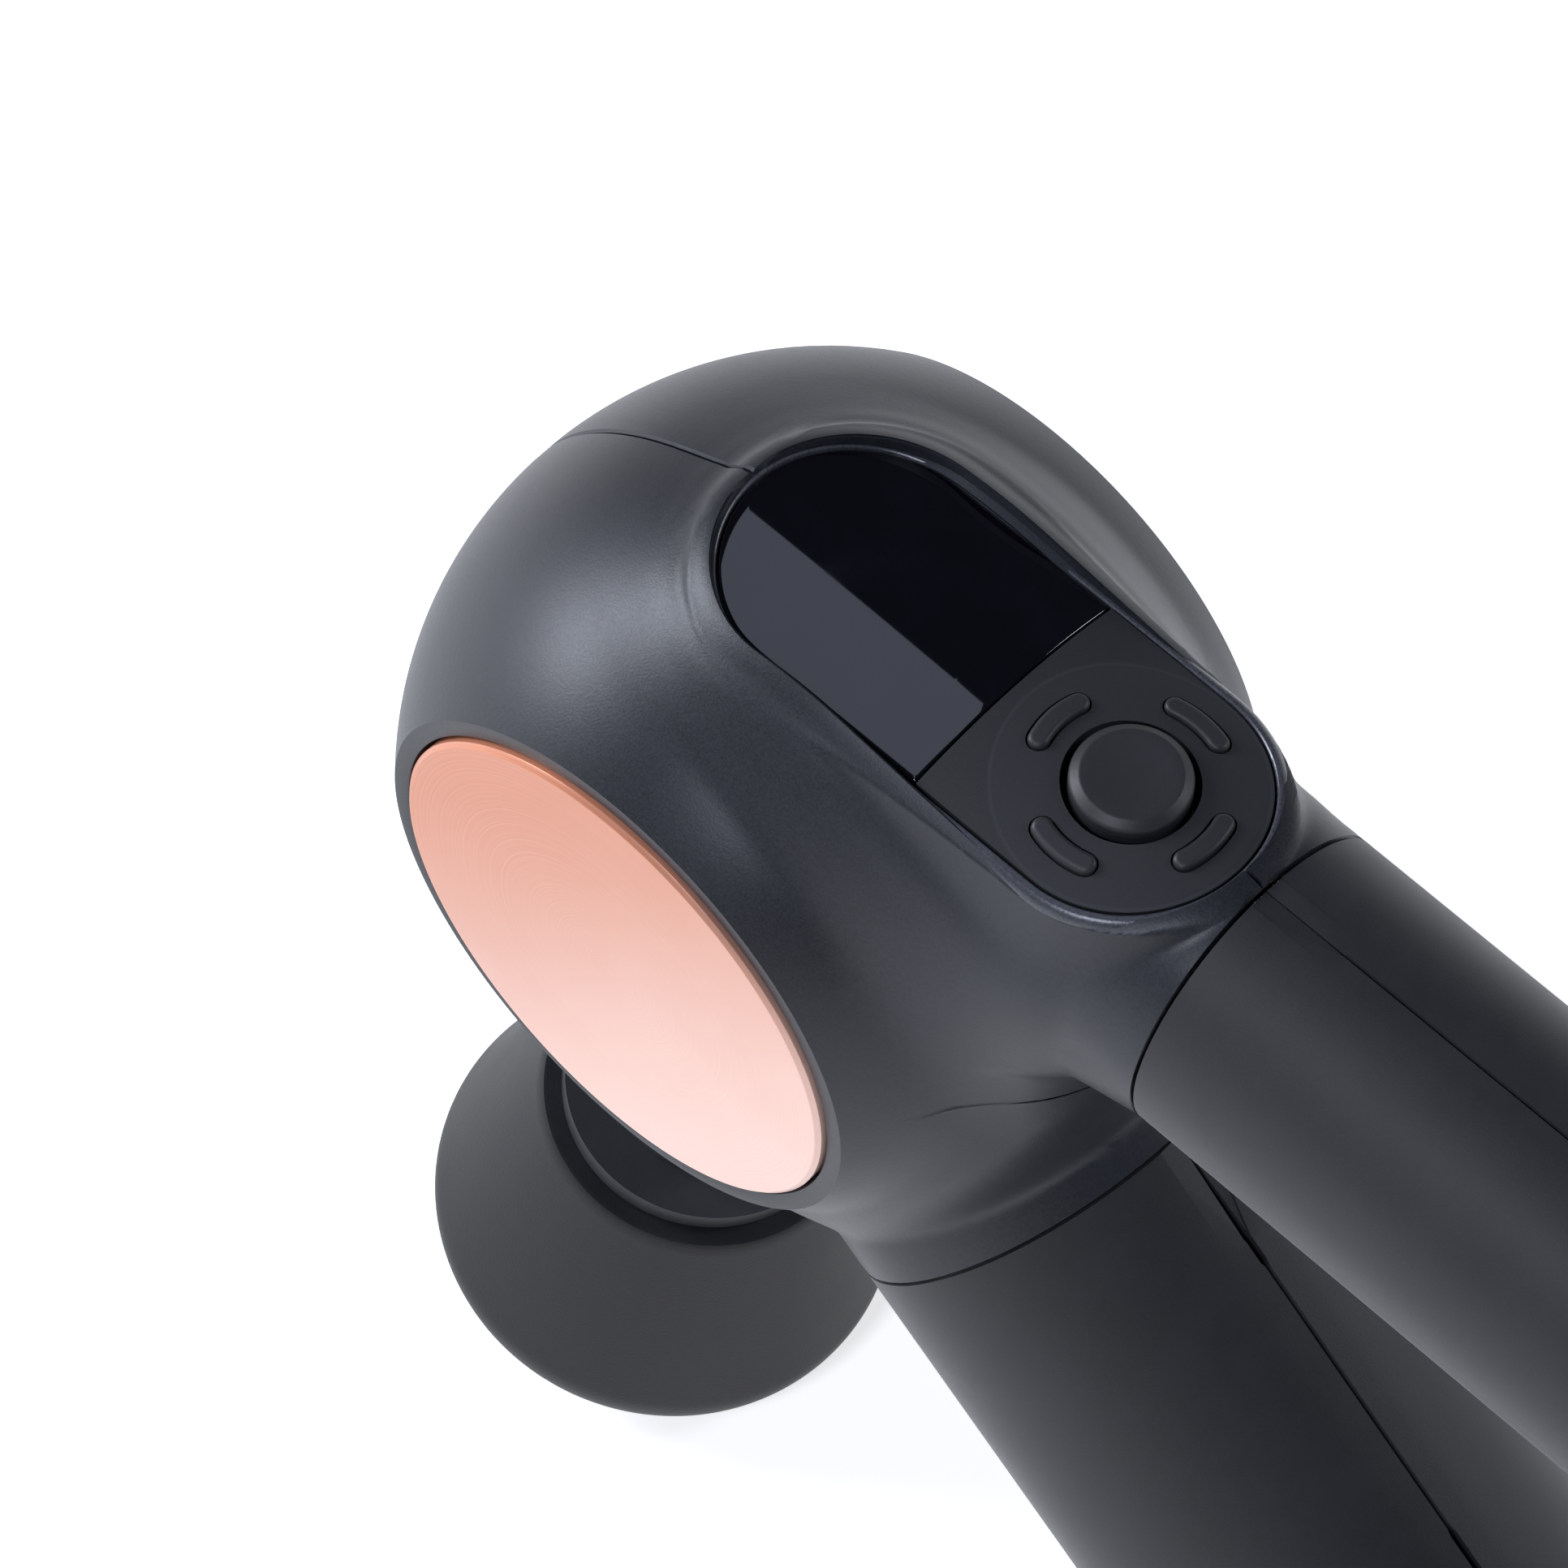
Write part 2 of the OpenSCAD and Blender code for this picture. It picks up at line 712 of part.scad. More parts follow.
module rod_bearing() {
    color("#c3c7cc") placed() along_drive() difference() {
        cross_rod(0, -crank_r, pin_r + 2.5, -rod_t / 2, rod_t / 2);
        cross_rod(0, -crank_r, pin_r + run_gap, -rod_t, rod_t);
    }
}

module wrist_pin() {
    color("#d5d8dc") placed() along_drive() cross_rod(0, wrist_t, wrist_r, -clevis_r + 0.8, clevis_r - 0.8);
}

module plunger() {
    groove_t = post_start + post_len * 0.66;
    color("#c9cdd2") placed() along_drive() difference() {
        union() {
            translate([0, 0, wrist_t - clevis_back])
                cylinder(r = clevis_r, h = clevis_end - wrist_t + clevis_back);
            translate([0, 0, clevis_end - eps]) cylinder(r = plunger_r, h = post_start - clevis_end + eps);
            translate([0, 0, post_start - eps]) cylinder(r = post_r, h = post_len - 1 + eps);
            translate([0, 0, post_end - 1]) cylinder(r1 = post_r, r2 = post_r - 1, h = 1);
        }
        translate([-far / 2, -rod_t / 2 - 0.2, wrist_t - clevis_back - 1])
            cube([far, rod_t + 0.4, clevis_back + 6.5 + 1]);
        cross_rod(0, wrist_t, wrist_r, -far / 2, far / 2);
        translate([0, 0, groove_t]) difference() {
            cylinder(r = post_r + 1, h = 1.8);
            translate([0, 0, -1]) cylinder(r = post_r - 0.9, h = 4);
        }
    }
}

module post_ring() {
    color("#1c1d1f") placed() along_drive()
        translate([0, 0, post_start + post_len * 0.66 + 0.9]) rotate_extrude()
            translate([post_r - 0.45, 0]) circle(0.45, $fn = 32);
}

module plunger_bushings() {
    color("#b08d4f") placed() along_drive() for (t = [bushing_1, bushing_2])
        translate([0, 0, t]) difference() {
            cylinder(r = bushing_r, h = bushing_len);
            translate([0, 0, -1]) cylinder(r = plunger_r + run_gap, h = bushing_len + 2);
        }
}

module shaft_seal() {
    color("#1c1d1f") placed() along_drive() translate([0, 0, sleeve_end + 0.2]) difference() {
        cylinder(r = nose_r - wall - 0.1, h = seal_t);
        translate([0, 0, -1]) cylinder(r = plunger_r + run_gap, h = seal_t + 2);
    }
}

module nose_ring() {
    color("#232529") placed() along_drive() translate([0, 0, nose_end - nose_ring_t]) difference() {
        cylinder(r = nose_r - wall - 0.1, h = nose_ring_t);
        translate([0, 0, -1]) cylinder(r = plunger_r + 0.6, h = nose_ring_t + 2);
    }
}

// ---- Attachment ----

module attachment_core() {
    color("#26282c") placed() along_drive() difference() {
        union() {
            translate([0, 0, core_start]) cylinder(r = post_r + 5.5, h = sleeve_len);
            translate([0, 0, core_start + sleeve_len]) cylinder(r = collar_r, h = collar_t);
            translate([0, 0, core_start + sleeve_len]) cylinder(r = stem_r, h = collar_t + 10);
        }
        translate([0, 0, core_start - 1]) cylinder(r = post_r + run_gap, h = post_len + 0.5);
    }
}

module attachment_cushion() {
    color("#2f3136") placed() along_drive() difference() {
        rotate_extrude() union() {
            polygon([[0, cushion_start], [flare_r, cushion_start],
                [round_r + cushion_round * cos(flare_angle), round_t - cushion_round * sin(flare_angle)],
                [round_r, round_t], [round_r, cushion_end], [0, cushion_end]]);
            intersection() {
                translate([round_r, round_t]) circle(cushion_round);
                square([far, far]);
            }
        }
        translate([0, 0, core_start]) cylinder(r = stem_r, h = sleeve_len + collar_t + 10);
    }
}

// ---- Battery and electronics ----

// Places of the three cells around the lower arm's axis
function cell_at(i) = (pack_r - cell_d / 2) * [cos(120 * i), sin(120 * i)];

module battery_cells() {
    color("#3f7fb0") placed() along_lower() for (i = [0:2]) for (row = [0, 1]) let (p = cell_at(i))
        translate([p[0], p[1], cell_start + row * (cell_len + cell_gap)])
            cylinder(r = cell_d / 2 - 0.1, h = cell_len);
}

module battery_cradle() {
    disc_t = 4;
    places = [cell_start + 8, cell_start + cell_len - 8, cell_start + cell_len + cell_gap + 8,
        corner_s - 2 * disc_t];
    color("#d8d4c8") placed() along_lower() difference() {
        union() {
            for (s = places) translate([0, 0, s]) cylinder(r = lower_r - wall - 0.4, h = disc_t);
            translate([0, 0, places[0]]) cylinder(r = pack_r - cell_d - 0.1, h = places[3] - places[0]);
        }
        for (i = [0:2]) let (p = cell_at(i)) translate([p[0], p[1], cell_start - 1])
            cylinder(r = cell_d / 2, h = cell_end - cell_start + 2);
    }
}

module cell_links() {
    color("#c9cbc6") placed() along_lower()
        for (s = [cell_start - 0.4, cell_end + 0.1]) for (i = [0:2]) let (p = cell_at(i))
            translate([p[0], p[1], s]) cylinder(r = cell_d / 2 - 3, h = 0.3);
}

module main_board() {
    board_w = 2 * (upper_r - wall) - 7;
    len = board_end - board_start;
    color("#1f5a3a") placed() translate([board_start, -board_w / 2, upper_z - 3]) union() {
        cube([len, board_w, 1.6]);
        translate([len * 0.1, board_w * 0.2, 1.6 - eps]) cube([9, 9, 1.8]);
        translate([len * 0.35, board_w * 0.3, 1.6 - eps]) cube([6, 6, 1.4]);
        translate([len * 0.6, board_w * 0.15, 1.6 - eps]) cube([7, 14, 5]);
        translate([len * 0.85, board_w * 0.2, 1.6 - eps]) cube([5, 12, 4]);
    }
}

module charge_socket() {
    color("#17181a") placed() at_socket() difference() {
        intersection() {
            socket_block(insert_w, insert_h, 0.5 - socket_depth, 0.6);
            translate([0, 0, -lower_r]) sphere(lower_r);
        }
        intersection() {
            socket_block(socket_w, socket_h, 1.6 - socket_depth, 2);
            union() {
                socket_block(socket_w - socket_h, socket_h, 1 - socket_depth, 2);
                for (s = [-1, 1]) translate([0, s * (socket_w - socket_h) / 2, 1 - socket_depth])
                    cylinder(r = socket_h / 2, h = socket_depth + 1);
            }
        }
    }
}

// ---- Mounts and fasteners ----

module motor_mounts() {
    color("#1c1d1f") placed() for (a = mount_angles) let (p = mount_at(a)) difference() {
        cross_rod(p[0], p[1], 4, plate_y + plate_t, inner_half_w);
        cross_rod(p[0], p[1], screw_r + 0.2, plate_y, inner_half_w + 1);
    }
}

module motor_screws() {
    head_y = head_half_w - cover_seat - 1;
    color("#b8bcc2") placed() for (a = mount_angles) let (p = mount_at(a)) union() {
        cross_rod(p[0], p[1], screw_r, plate_y + 0.5, head_y + eps);
        cross_rod(p[0], p[1], screw_head_r, head_y, head_y + 0.9);
    }
}

module head_screws() {
    head_y = head_half_w - cover_seat - screw_head_t;
    color("#b8bcc2") placed() for (a = head_boss_angles) let (p = boss_at(a)) union() {
        cross_rod(p[0], p[1], screw_r, -inner_half_w + 9, head_y + eps);
        cross_rod(p[0], p[1], screw_head_r, head_y, head_y + screw_head_t - 0.1);
    }
}

module grip_screws() {
    head_y = upper_r - wall - screw_head_t;
    color("#b8bcc2") placed() for (p = concat(upper_posts(), lower_posts())) union() {
        cross_rod(p[0], p[1], screw_r, 7 - upper_r, head_y + eps);
        cross_rod(p[0], p[1], screw_head_r, head_y, head_y + screw_head_t);
    }
}

head_shell_left();
head_shell_right();
upper_grip_left();
upper_grip_right();
lower_grip_left();
lower_grip_right();
side_cover_left();
side_cover_right();
display_lens();
display_module();
control_pad();
centre_button();
front_button();
rear_button();
left_button();
right_button();
keypad_board();
dome_switches();
deck_tray();
motor_cradle();
motor_stator();
stator_coils();
rotor_can();
rotor_magnets();
motor_shaft();
shaft_bearings();
crank_disc();
counterweight();
crank_pin();
connecting_rod();
rod_bearing();
wrist_pin();
plunger();
plunger_bushings();
shaft_seal();
nose_ring();
post_ring();
attachment_core();
attachment_cushion();
battery_cells();
battery_cradle();
cell_links();
main_board();
charge_socket();
motor_mounts();
motor_screws();
head_screws();
grip_screws();
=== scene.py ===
"""Visual model of a handheld percussion massager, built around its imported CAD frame.

All shapes are worked out in metres in a frame whose origin is the head's centre: +X runs along the
upper arm, +Y to the right side and +Z out of the screen. to_row() moves them into the row's frame.
"""
import json
import math

import bmesh
import bpy
import numpy as np
from bpy.props import FloatProperty, FloatVectorProperty, PointerProperty
from mathutils import Matrix, Vector


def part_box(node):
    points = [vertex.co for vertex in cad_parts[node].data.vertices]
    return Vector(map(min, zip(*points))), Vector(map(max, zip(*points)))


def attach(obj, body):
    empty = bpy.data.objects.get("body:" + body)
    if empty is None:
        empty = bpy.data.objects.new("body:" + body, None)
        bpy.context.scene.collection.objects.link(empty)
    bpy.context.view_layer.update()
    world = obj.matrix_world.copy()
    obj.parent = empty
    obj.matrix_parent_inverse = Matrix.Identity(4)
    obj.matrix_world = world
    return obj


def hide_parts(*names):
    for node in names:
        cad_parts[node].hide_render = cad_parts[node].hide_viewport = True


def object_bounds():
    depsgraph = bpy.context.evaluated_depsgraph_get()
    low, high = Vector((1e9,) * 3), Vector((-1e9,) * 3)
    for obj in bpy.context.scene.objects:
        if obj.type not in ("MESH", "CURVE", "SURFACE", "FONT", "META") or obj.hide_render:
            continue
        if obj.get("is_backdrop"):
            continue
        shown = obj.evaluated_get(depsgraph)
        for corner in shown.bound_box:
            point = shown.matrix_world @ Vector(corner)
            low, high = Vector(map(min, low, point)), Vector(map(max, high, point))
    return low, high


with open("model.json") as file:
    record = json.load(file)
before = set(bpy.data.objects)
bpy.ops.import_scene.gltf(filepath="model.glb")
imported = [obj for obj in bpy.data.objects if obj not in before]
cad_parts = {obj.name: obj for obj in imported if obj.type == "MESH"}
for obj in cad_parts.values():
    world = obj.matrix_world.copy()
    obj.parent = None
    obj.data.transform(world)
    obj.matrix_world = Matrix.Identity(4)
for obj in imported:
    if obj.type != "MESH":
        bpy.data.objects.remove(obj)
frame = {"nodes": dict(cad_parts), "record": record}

bl_info = {
    "name": "Percussion Massager",
    "version": (1, 0, 0),
    "blender": (4, 5, 0),
    "location": "View3D > Sidebar > Massager",
    "description": "Builds a handheld percussion massager around its CAD frame",
    "category": "Object",
}

MM = 0.001
MOUNTS = {m["name"]: m for m in frame["record"]["mounts"]}
HEAD = np.array([MOUNTS["side_rest_left"]["pos_m"][0], 0.0, MOUNTS["side_rest_left"]["pos_m"][2]])
FLAT_Y = abs(MOUNTS["side_rest_left"]["pos_m"][1])
DRIVE = np.array(MOUNTS["working_face"]["axis"], float)
LOWER = np.array(MOUNTS["charge_inlet"]["axis"], float)
LOWER_OUT = np.array([LOWER[2], 0.0, -LOWER[0]])
UP = np.array([0.0, 0.0, 1.0])


def node_size(name):
    """Lowest and highest corner of a CAD node, seen from the head's centre."""
    low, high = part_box(name)
    return np.array(low) - HEAD, np.array(high) - HEAD


# ---- Places taken from the frame ----

COVER_LOW, COVER_HIGH = node_size("side_cover_left")
COVER_R = (COVER_HIGH[0] - COVER_LOW[0]) / 2
COVER_BACK = node_size("side_cover_right")[0][1]
LENS_LOW, LENS_HIGH = node_size("display_lens")
PAD_LOW, PAD_HIGH = node_size("control_pad")
BUTTON_LOW, BUTTON_HIGH = node_size("centre_button")
PAD_MIDDLE = (BUTTON_LOW + BUTTON_HIGH) / 2
DECK_R = (PAD_HIGH[1] - PAD_LOW[1]) / 2
DECK_FRONT = LENS_LOW[0] + DECK_R
DECK_REAR = PAD_HIGH[0] - DECK_R
UPPER_LOW, UPPER_HIGH = node_size("upper_grip_left")
UPPER_R = abs(UPPER_LOW[1])
UPPER_Z = UPPER_HIGH[2] - UPPER_R
UPPER_START = UPPER_LOW[0]
LOWER_R = abs(node_size("lower_grip_left")[0][1])
INLET = np.array(MOUNTS["charge_inlet"]["pos_m"]) - HEAD
CORNER = INLET - LOWER * LOWER_R
CORNER_S = CORNER @ LOWER
LOWER_SHIFT = CORNER @ LOWER_OUT
CUSHION_END = (np.array(MOUNTS["working_face"]["pos_m"]) - HEAD) @ DRIVE

# ---- Places worked out for this shape ----

RING_GAP = 0.15 * MM  # half the gap in a seam that runs around an arm
END_INSET = 0.25 * MM  # how far a casing's flat end is drawn in before its edge is rounded
LOWER_SEAM = CORNER_S - 122.26 * MM  # where the lower arm's grip starts, from the head's centre
NOSE_END = 72.0 * MM  # where the head's casing ends along the drive
BEND = np.array([153.291 * MM, 3.0 * MM])  # centre of the bend between upper and rear arm, in (x, z)
BEND_R = 26.0 * MM
REAR_LEAN = 24.0  # degrees by which the rear arm leans back
REAR = np.array([math.sin(math.radians(REAR_LEAN)), math.cos(math.radians(REAR_LEAN))])
REAR_OUT = np.array([REAR[1], -REAR[0]])
REAR_SEAM = 33.4932 * MM  # length of the rear arm's root, up to its seam


def lower_point(s, w):
    """Point of the plane y = 0 at length s along the lower arm and w towards the inside of the loop."""
    s, w = np.asarray(s, float), np.asarray(w, float)
    return s[..., None] * LOWER + (LOWER_SHIFT - w)[..., None] * LOWER_OUT


# ---- Sizes and colours that a user would change ----


def length(name, text, value):
    """A length property, given in metres."""
    return FloatProperty(name=name, description=text, default=value, min=0.0, unit="LENGTH")


def tint(name, text, value):
    """A linear colour property."""
    return FloatVectorProperty(name=name, description=text, default=value, size=3, min=0.0, max=1.0,
                               subtype="COLOR")


class MassagerSizes(bpy.types.PropertyGroup):
    """Sizes of the visual model, beyond those that the CAD frame sets."""

    head_radius: length("Head radius", "Radius of the ball-shaped head", 46.0 * MM)
    flat_y: length("Flat side", "Distance from the middle plane to the head's flat side", 32.4 * MM)
    cover_gap: length("Cover gap", "Gap around a side cover", 0.35 * MM)
    saddle: length("Saddle blend", "Reach of the blend between the head and its arms", 22.0 * MM)
    nose_blend: length("Nose blend", "Reach of the blend between the head and the nose", 8.0 * MM)
    deck_blend: length("Deck blend", "Reach of the hollow outside the deck's rim", 6.0 * MM)
    valley: length("Valley", "Depth of the hollow outside the deck's rim", 0.45 * MM)
    wall: length("Wall", "Thickness of the casings", 2.2 * MM)
    seam: length("Seam", "Gap between the left and the right casing", 0.24 * MM)
    edge: length("Seam edge", "Rounding of the casings along their seams", 0.3 * MM)
    slot: length("Slot", "Width of the slots in the lower arm's seam", 0.9 * MM)
    bevel: length("Cover bevel", "Width of the side covers' bright bevel", 0.55 * MM)


class MassagerColours(bpy.types.PropertyGroup):
    """Colours of the visible finishes."""

    shell: tint("Shell", "Satin casing of the head", (0.017, 0.019, 0.026))
    # The rim's lighter colour is a painted highlight along its rounded edge; the rim is the same satin as
    # the shell.
    rim: tint("Rim", "Rim around the screen and the pad", (0.080, 0.084, 0.100))
    grip: tint("Grip", "Soft-touch silicone of the arms", (0.016, 0.0167, 0.0205))
    # Copper and pink are the two ends of the painted shade and reflection that runs across the side
    # covers.
    copper: tint("Copper", "Deep end of the side covers' colour", (0.63, 0.235, 0.13))
    pink: tint("Pink", "Pale end of the side covers' colour", (0.86, 0.59, 0.51))
    glass: tint("Glass", "Screen glass", (0.002, 0.002, 0.004))
    pad: tint("Pad", "Control pad and its buttons", (0.024, 0.025, 0.029))
    cushion: tint("Cushion", "Rubber of the attachment", (0.012, 0.0125, 0.0145))


# ---- Fields: negative inside, positive outside, about a distance near the surface ----


def smooth_min(a, b, reach):
    """Union of two fields: the smaller one, less a quarter of reach times the squared closeness."""
    reach = np.maximum(reach, 1e-7)
    near = np.maximum(reach - np.abs(a - b), 0.0) / reach
    return np.minimum(a, b) - near * near * reach / 4


def rod(p, start, along, radius, stop=1.0):
    """Distance to the segment from start along a direction, less the radius."""
    q = p - start
    t = np.clip(q @ along, 0.0, stop)
    return np.linalg.norm(q - t[..., None] * along, axis=-1) - radius


def deck_height(x, y, crest=46.75 * MM, crown=56.5 * MM, bow=700.0 * MM, middle=28.95 * MM):
    """Height of the deck: an arc of radius crown across it, carried along an arc of radius bow."""
    across = np.sqrt(crown**2 - np.minimum(np.abs(y), 0.9 * crown) ** 2) + bow - crown
    return crest - bow + np.sqrt(across**2 - (x - middle) ** 2)


def stadium(x, y, radius):
    """Distance to an outline with round ends: that of a segment along X, less the radius."""
    past = x - np.clip(x, DECK_FRONT, DECK_REAR)
    return np.hypot(past, y) - radius


def head_field(p, sizes):
    """Ball, two arms, nose and deck block, melted into each other."""
    y = p[..., 1]
    fade = np.clip(1 - (y / (31.5 * MM)) ** 4, 0, 1)
    to_upper = ease((UPPER_START - p[..., 0]) / (14 * MM))
    to_lower = ease((LOWER_SEAM - p @ LOWER) / (14 * MM))
    f = np.linalg.norm(p, axis=-1) - sizes.head_radius
    upper = rod(p, np.array([14 * MM, 0, UPPER_Z]), np.array([1.0, 0, 0]), UPPER_R)
    lower = rod(p, lower_point(10 * MM, 0.0), LOWER, LOWER_R)
    f = smooth_min(f, lower, sizes.saddle * fade * to_lower)
    f = smooth_min(f, upper, sizes.saddle * fade * to_upper * (0.6 + 0.4 * to_lower))
    f = smooth_min(f, rod(p, np.zeros(3), DRIVE, nose_radius()), sizes.nose_blend * fade)
    top = p[..., 2] - deck_height(p[..., 0], y) + 0.9 * MM
    edge = stadium(p[..., 0], y, DECK_R + 1.5 * MM)
    block = np.maximum(edge, np.maximum(top, 20 * MM - p[..., 2]))
    valley = np.exp(-(((edge - 1.9 * MM) / (1.5 * MM)) ** 2)) * ease(p[..., 2] / (20 * MM) - 1)
    return smooth_min(f, block, sizes.deck_blend) + valley * sizes.valley


def ease(t):
    """Smooth rise from 0 to 1 as t does: 3 t squared less 2 t cubed."""
    t = np.clip(t, 0, 1)
    return t * t * (3 - 2 * t)


def nose_radius():
    """Outer radius of the nose."""
    low, high = node_size("nose_ring")
    return (high[1] - low[1]) / 2 + 2.6 * MM


def root(field, low, high, steps=34):
    """Halving: the place between low and high, as whole arrays, at which a rising field turns positive."""
    low, high = np.array(low, float), np.array(high, float)
    for _ in range(steps):
        middle = (low + high) / 2
        inside = field(middle) < 0
        low = np.where(inside, middle, low)
        high = np.where(inside, high, middle)
    return (low + high) / 2


def slope(field, p, step=0.02 * MM):
    """Unit gradient of a field by central differences."""
    grad = np.stack([field(p + step * e) - field(p - step * e) for e in np.eye(3)], axis=-1)
    return grad / np.maximum(np.linalg.norm(grad, axis=-1, keepdims=True), 1e-12)


# ---- Meshes from grids ----


def points(*coordinates):
    """Points from one array for each coordinate."""
    return np.stack(coordinates, axis=-1)


def bearing(x, z):
    """Angle in degrees of a direction in the plane y = 0, from +X towards +Z."""
    return math.degrees(math.atan2(z, x))


def to_row(points):
    """Moves points from the head's centre into the row's frame."""
    return np.asarray(points, float).reshape(-1, 3) + HEAD


def grid_faces(rows, columns, ring):
    """Quads of a grid whose columns close on themselves, and whose rows do where ring is true."""
    i = np.arange(rows if ring else rows - 1)
    i, j = np.meshgrid(i, np.arange(columns), indexing="ij")
    i2, j2 = (i + 1) % rows, (j + 1) % columns
    quads = points(i * columns + j, i * columns + j2, i2 * columns + j2, i2 * columns + j)
    return quads.reshape(-1, 4)


def solid(name, grid, ring=False, smooth=32.0, merge=2e-7):
    """One closed object from a grid of points whose columns close on themselves.

    The rows close too where ring is true. Elsewhere the first and the last row each fold up along
    a line or a point. Doubled points are merged and the faces turned outwards.
    """
    mesh = bpy.data.meshes.new(name)
    mesh.from_pydata(to_row(grid).tolist(), [], grid_faces(*grid.shape[:2], ring).tolist())
    work = bmesh.new()
    work.from_mesh(mesh)
    bmesh.ops.remove_doubles(work, verts=work.verts, dist=merge)
    bmesh.ops.dissolve_degenerate(work, edges=work.edges, dist=merge)
    bmesh.ops.recalc_face_normals(work, faces=work.faces)
    work.to_mesh(mesh)
    work.free()
    mesh.shade_smooth()
    mesh.set_sharp_from_angle(angle=math.radians(smooth))
    piece = bpy.data.objects.new(name, mesh)
    bpy.context.scene.collection.objects.link(piece)
    return piece


def half_casing(core, rim, low, inset, field, sizes, inner_rows, side, rows=44):
    """Half of a casing over the plane y = 0, as a closed grid.

    A column runs from a rim point to its core point in that plane and is lifted in y until the field
    turns positive. The rows go from the core out to the rim, where they are drawn in by the seam's
    rounding, and back along the wall's inside. inner_rows() adds what joins the two at the core.
    """
    span = np.linalg.norm(rim - core, axis=-1)
    w = np.sin(np.linspace(math.pi / 2, 0, rows))[:, None] * np.ones(len(span))
    w[0] = 1
    w[1] = 1 - inset / span
    flat = core + (rim - core) * w[..., None]

    def lifted(y):
        return points(flat[..., 0], y, flat[..., 1])

    y = root(lambda v: field(lifted(v)), np.zeros(w.shape), np.full(w.shape, 33 * MM))
    y = np.maximum(y, low)
    y[0] = low
    outer = lifted(y)
    normals = slope(field, lifted(np.maximum(y, 0.05 * MM)))
    normals[0] = normals[1]
    shown = outer.copy()
    shown[0] -= normals[0] * sizes.edge
    shown[1] -= normals[1] * sizes.edge * 0.12
    inside = outer - normals * sizes.wall
    inside[0, :, 1] = low
    grid = np.concatenate([shown[::-1], inside, *inner_rows()])
    grid[..., 1] *= side
    return grid


def turned(profile, origin, axis, count=160):
    """Profile of (radius, distance along the axis) turned once around the axis, closed on itself."""
    axis = np.asarray(axis, float)
    across = np.cross(axis, [0.0, 1.0, 0.0] if abs(axis[1]) < 0.9 else [1.0, 0.0, 0.0])
    across /= np.linalg.norm(across)
    other = np.cross(axis, across)
    turn = np.linspace(0, 2 * math.pi, count, endpoint=False)
    ring = np.cos(turn)[:, None] * across + np.sin(turn)[:, None] * other
    profile = np.asarray(profile, float)
    return origin + profile[:, None, 0:1] * ring + profile[:, None, 1:2] * axis


def arc(centre, radius, start, end, count):
    """Points of an arc, with angles in degrees."""
    a = np.radians(np.linspace(start, end, count))
    return points(centre[0] + radius * np.cos(a), centre[1] + radius * np.sin(a))


def plate(core, rim, top, depth, bevel, rows=14):
    """Closed plate over a plan: columns run from core to rim, rise to top(x, y), and the rim is rounded.

    The rounding is a quarter arc of radius bevel, and the underside is flat.
    """
    core, rim = np.asarray(core, float), np.asarray(rim, float)
    out = rim - core
    span = np.linalg.norm(out, axis=-1, keepdims=True)
    out = out / span
    w = np.linspace(0, 1, rows)[:, None, None]
    plan = core + out * (span - bevel) * w
    drop = np.zeros((rows, len(core)))
    a = np.linspace(0, math.pi / 2, 6)[1:, None, None]
    plan = np.concatenate([plan, core + out * (span - bevel + bevel * np.sin(a))])
    drop = np.concatenate([drop, (bevel * (1 - np.cos(a[..., 0]))) * np.ones(len(core))])
    z = top(plan[..., 0], plan[..., 1]) - drop
    shown = np.concatenate([plan, z[..., None]], axis=-1)
    under = np.concatenate([np.stack([rim, core]), np.full((2, len(core), 1), depth)], axis=-1)
    return np.concatenate([shown, under])


# ---- Shader maths ----


class Value:
    """A shader socket with arithmetic: an expression adds the Math nodes that it needs."""

    def __init__(self, graph, socket):
        self.graph = graph
        self.socket = socket

    def _math(self, operation, *values, clamp=False):
        return self.graph.add("ShaderNodeMath", {"operation": operation, "use_clamp": clamp},
                              dict(enumerate(values)))

    def __add__(self, other):
        return self._math("ADD", self, other)

    def __radd__(self, other):
        return self._math("ADD", other, self)

    def __sub__(self, other):
        return self._math("SUBTRACT", self, other)

    def __rsub__(self, other):
        return self._math("SUBTRACT", other, self)

    def __mul__(self, other):
        return self._math("MULTIPLY", self, other)

    def __rmul__(self, other):
        return self._math("MULTIPLY", other, self)

    def __truediv__(self, other):
        return self._math("DIVIDE", self, other)

    def clamped(self):
        """The value, kept between 0 and 1."""
        return self._math("ADD", self, 0.0, clamp=True)

    def between(self, low, high):
        """0 below low, 1 above high and a smooth rise between them."""
        return self.graph.add("ShaderNodeMapRange", {"interpolation_type": "SMOOTHSTEP"},
                              {"Value": self, "From Min": low, "From Max": high})


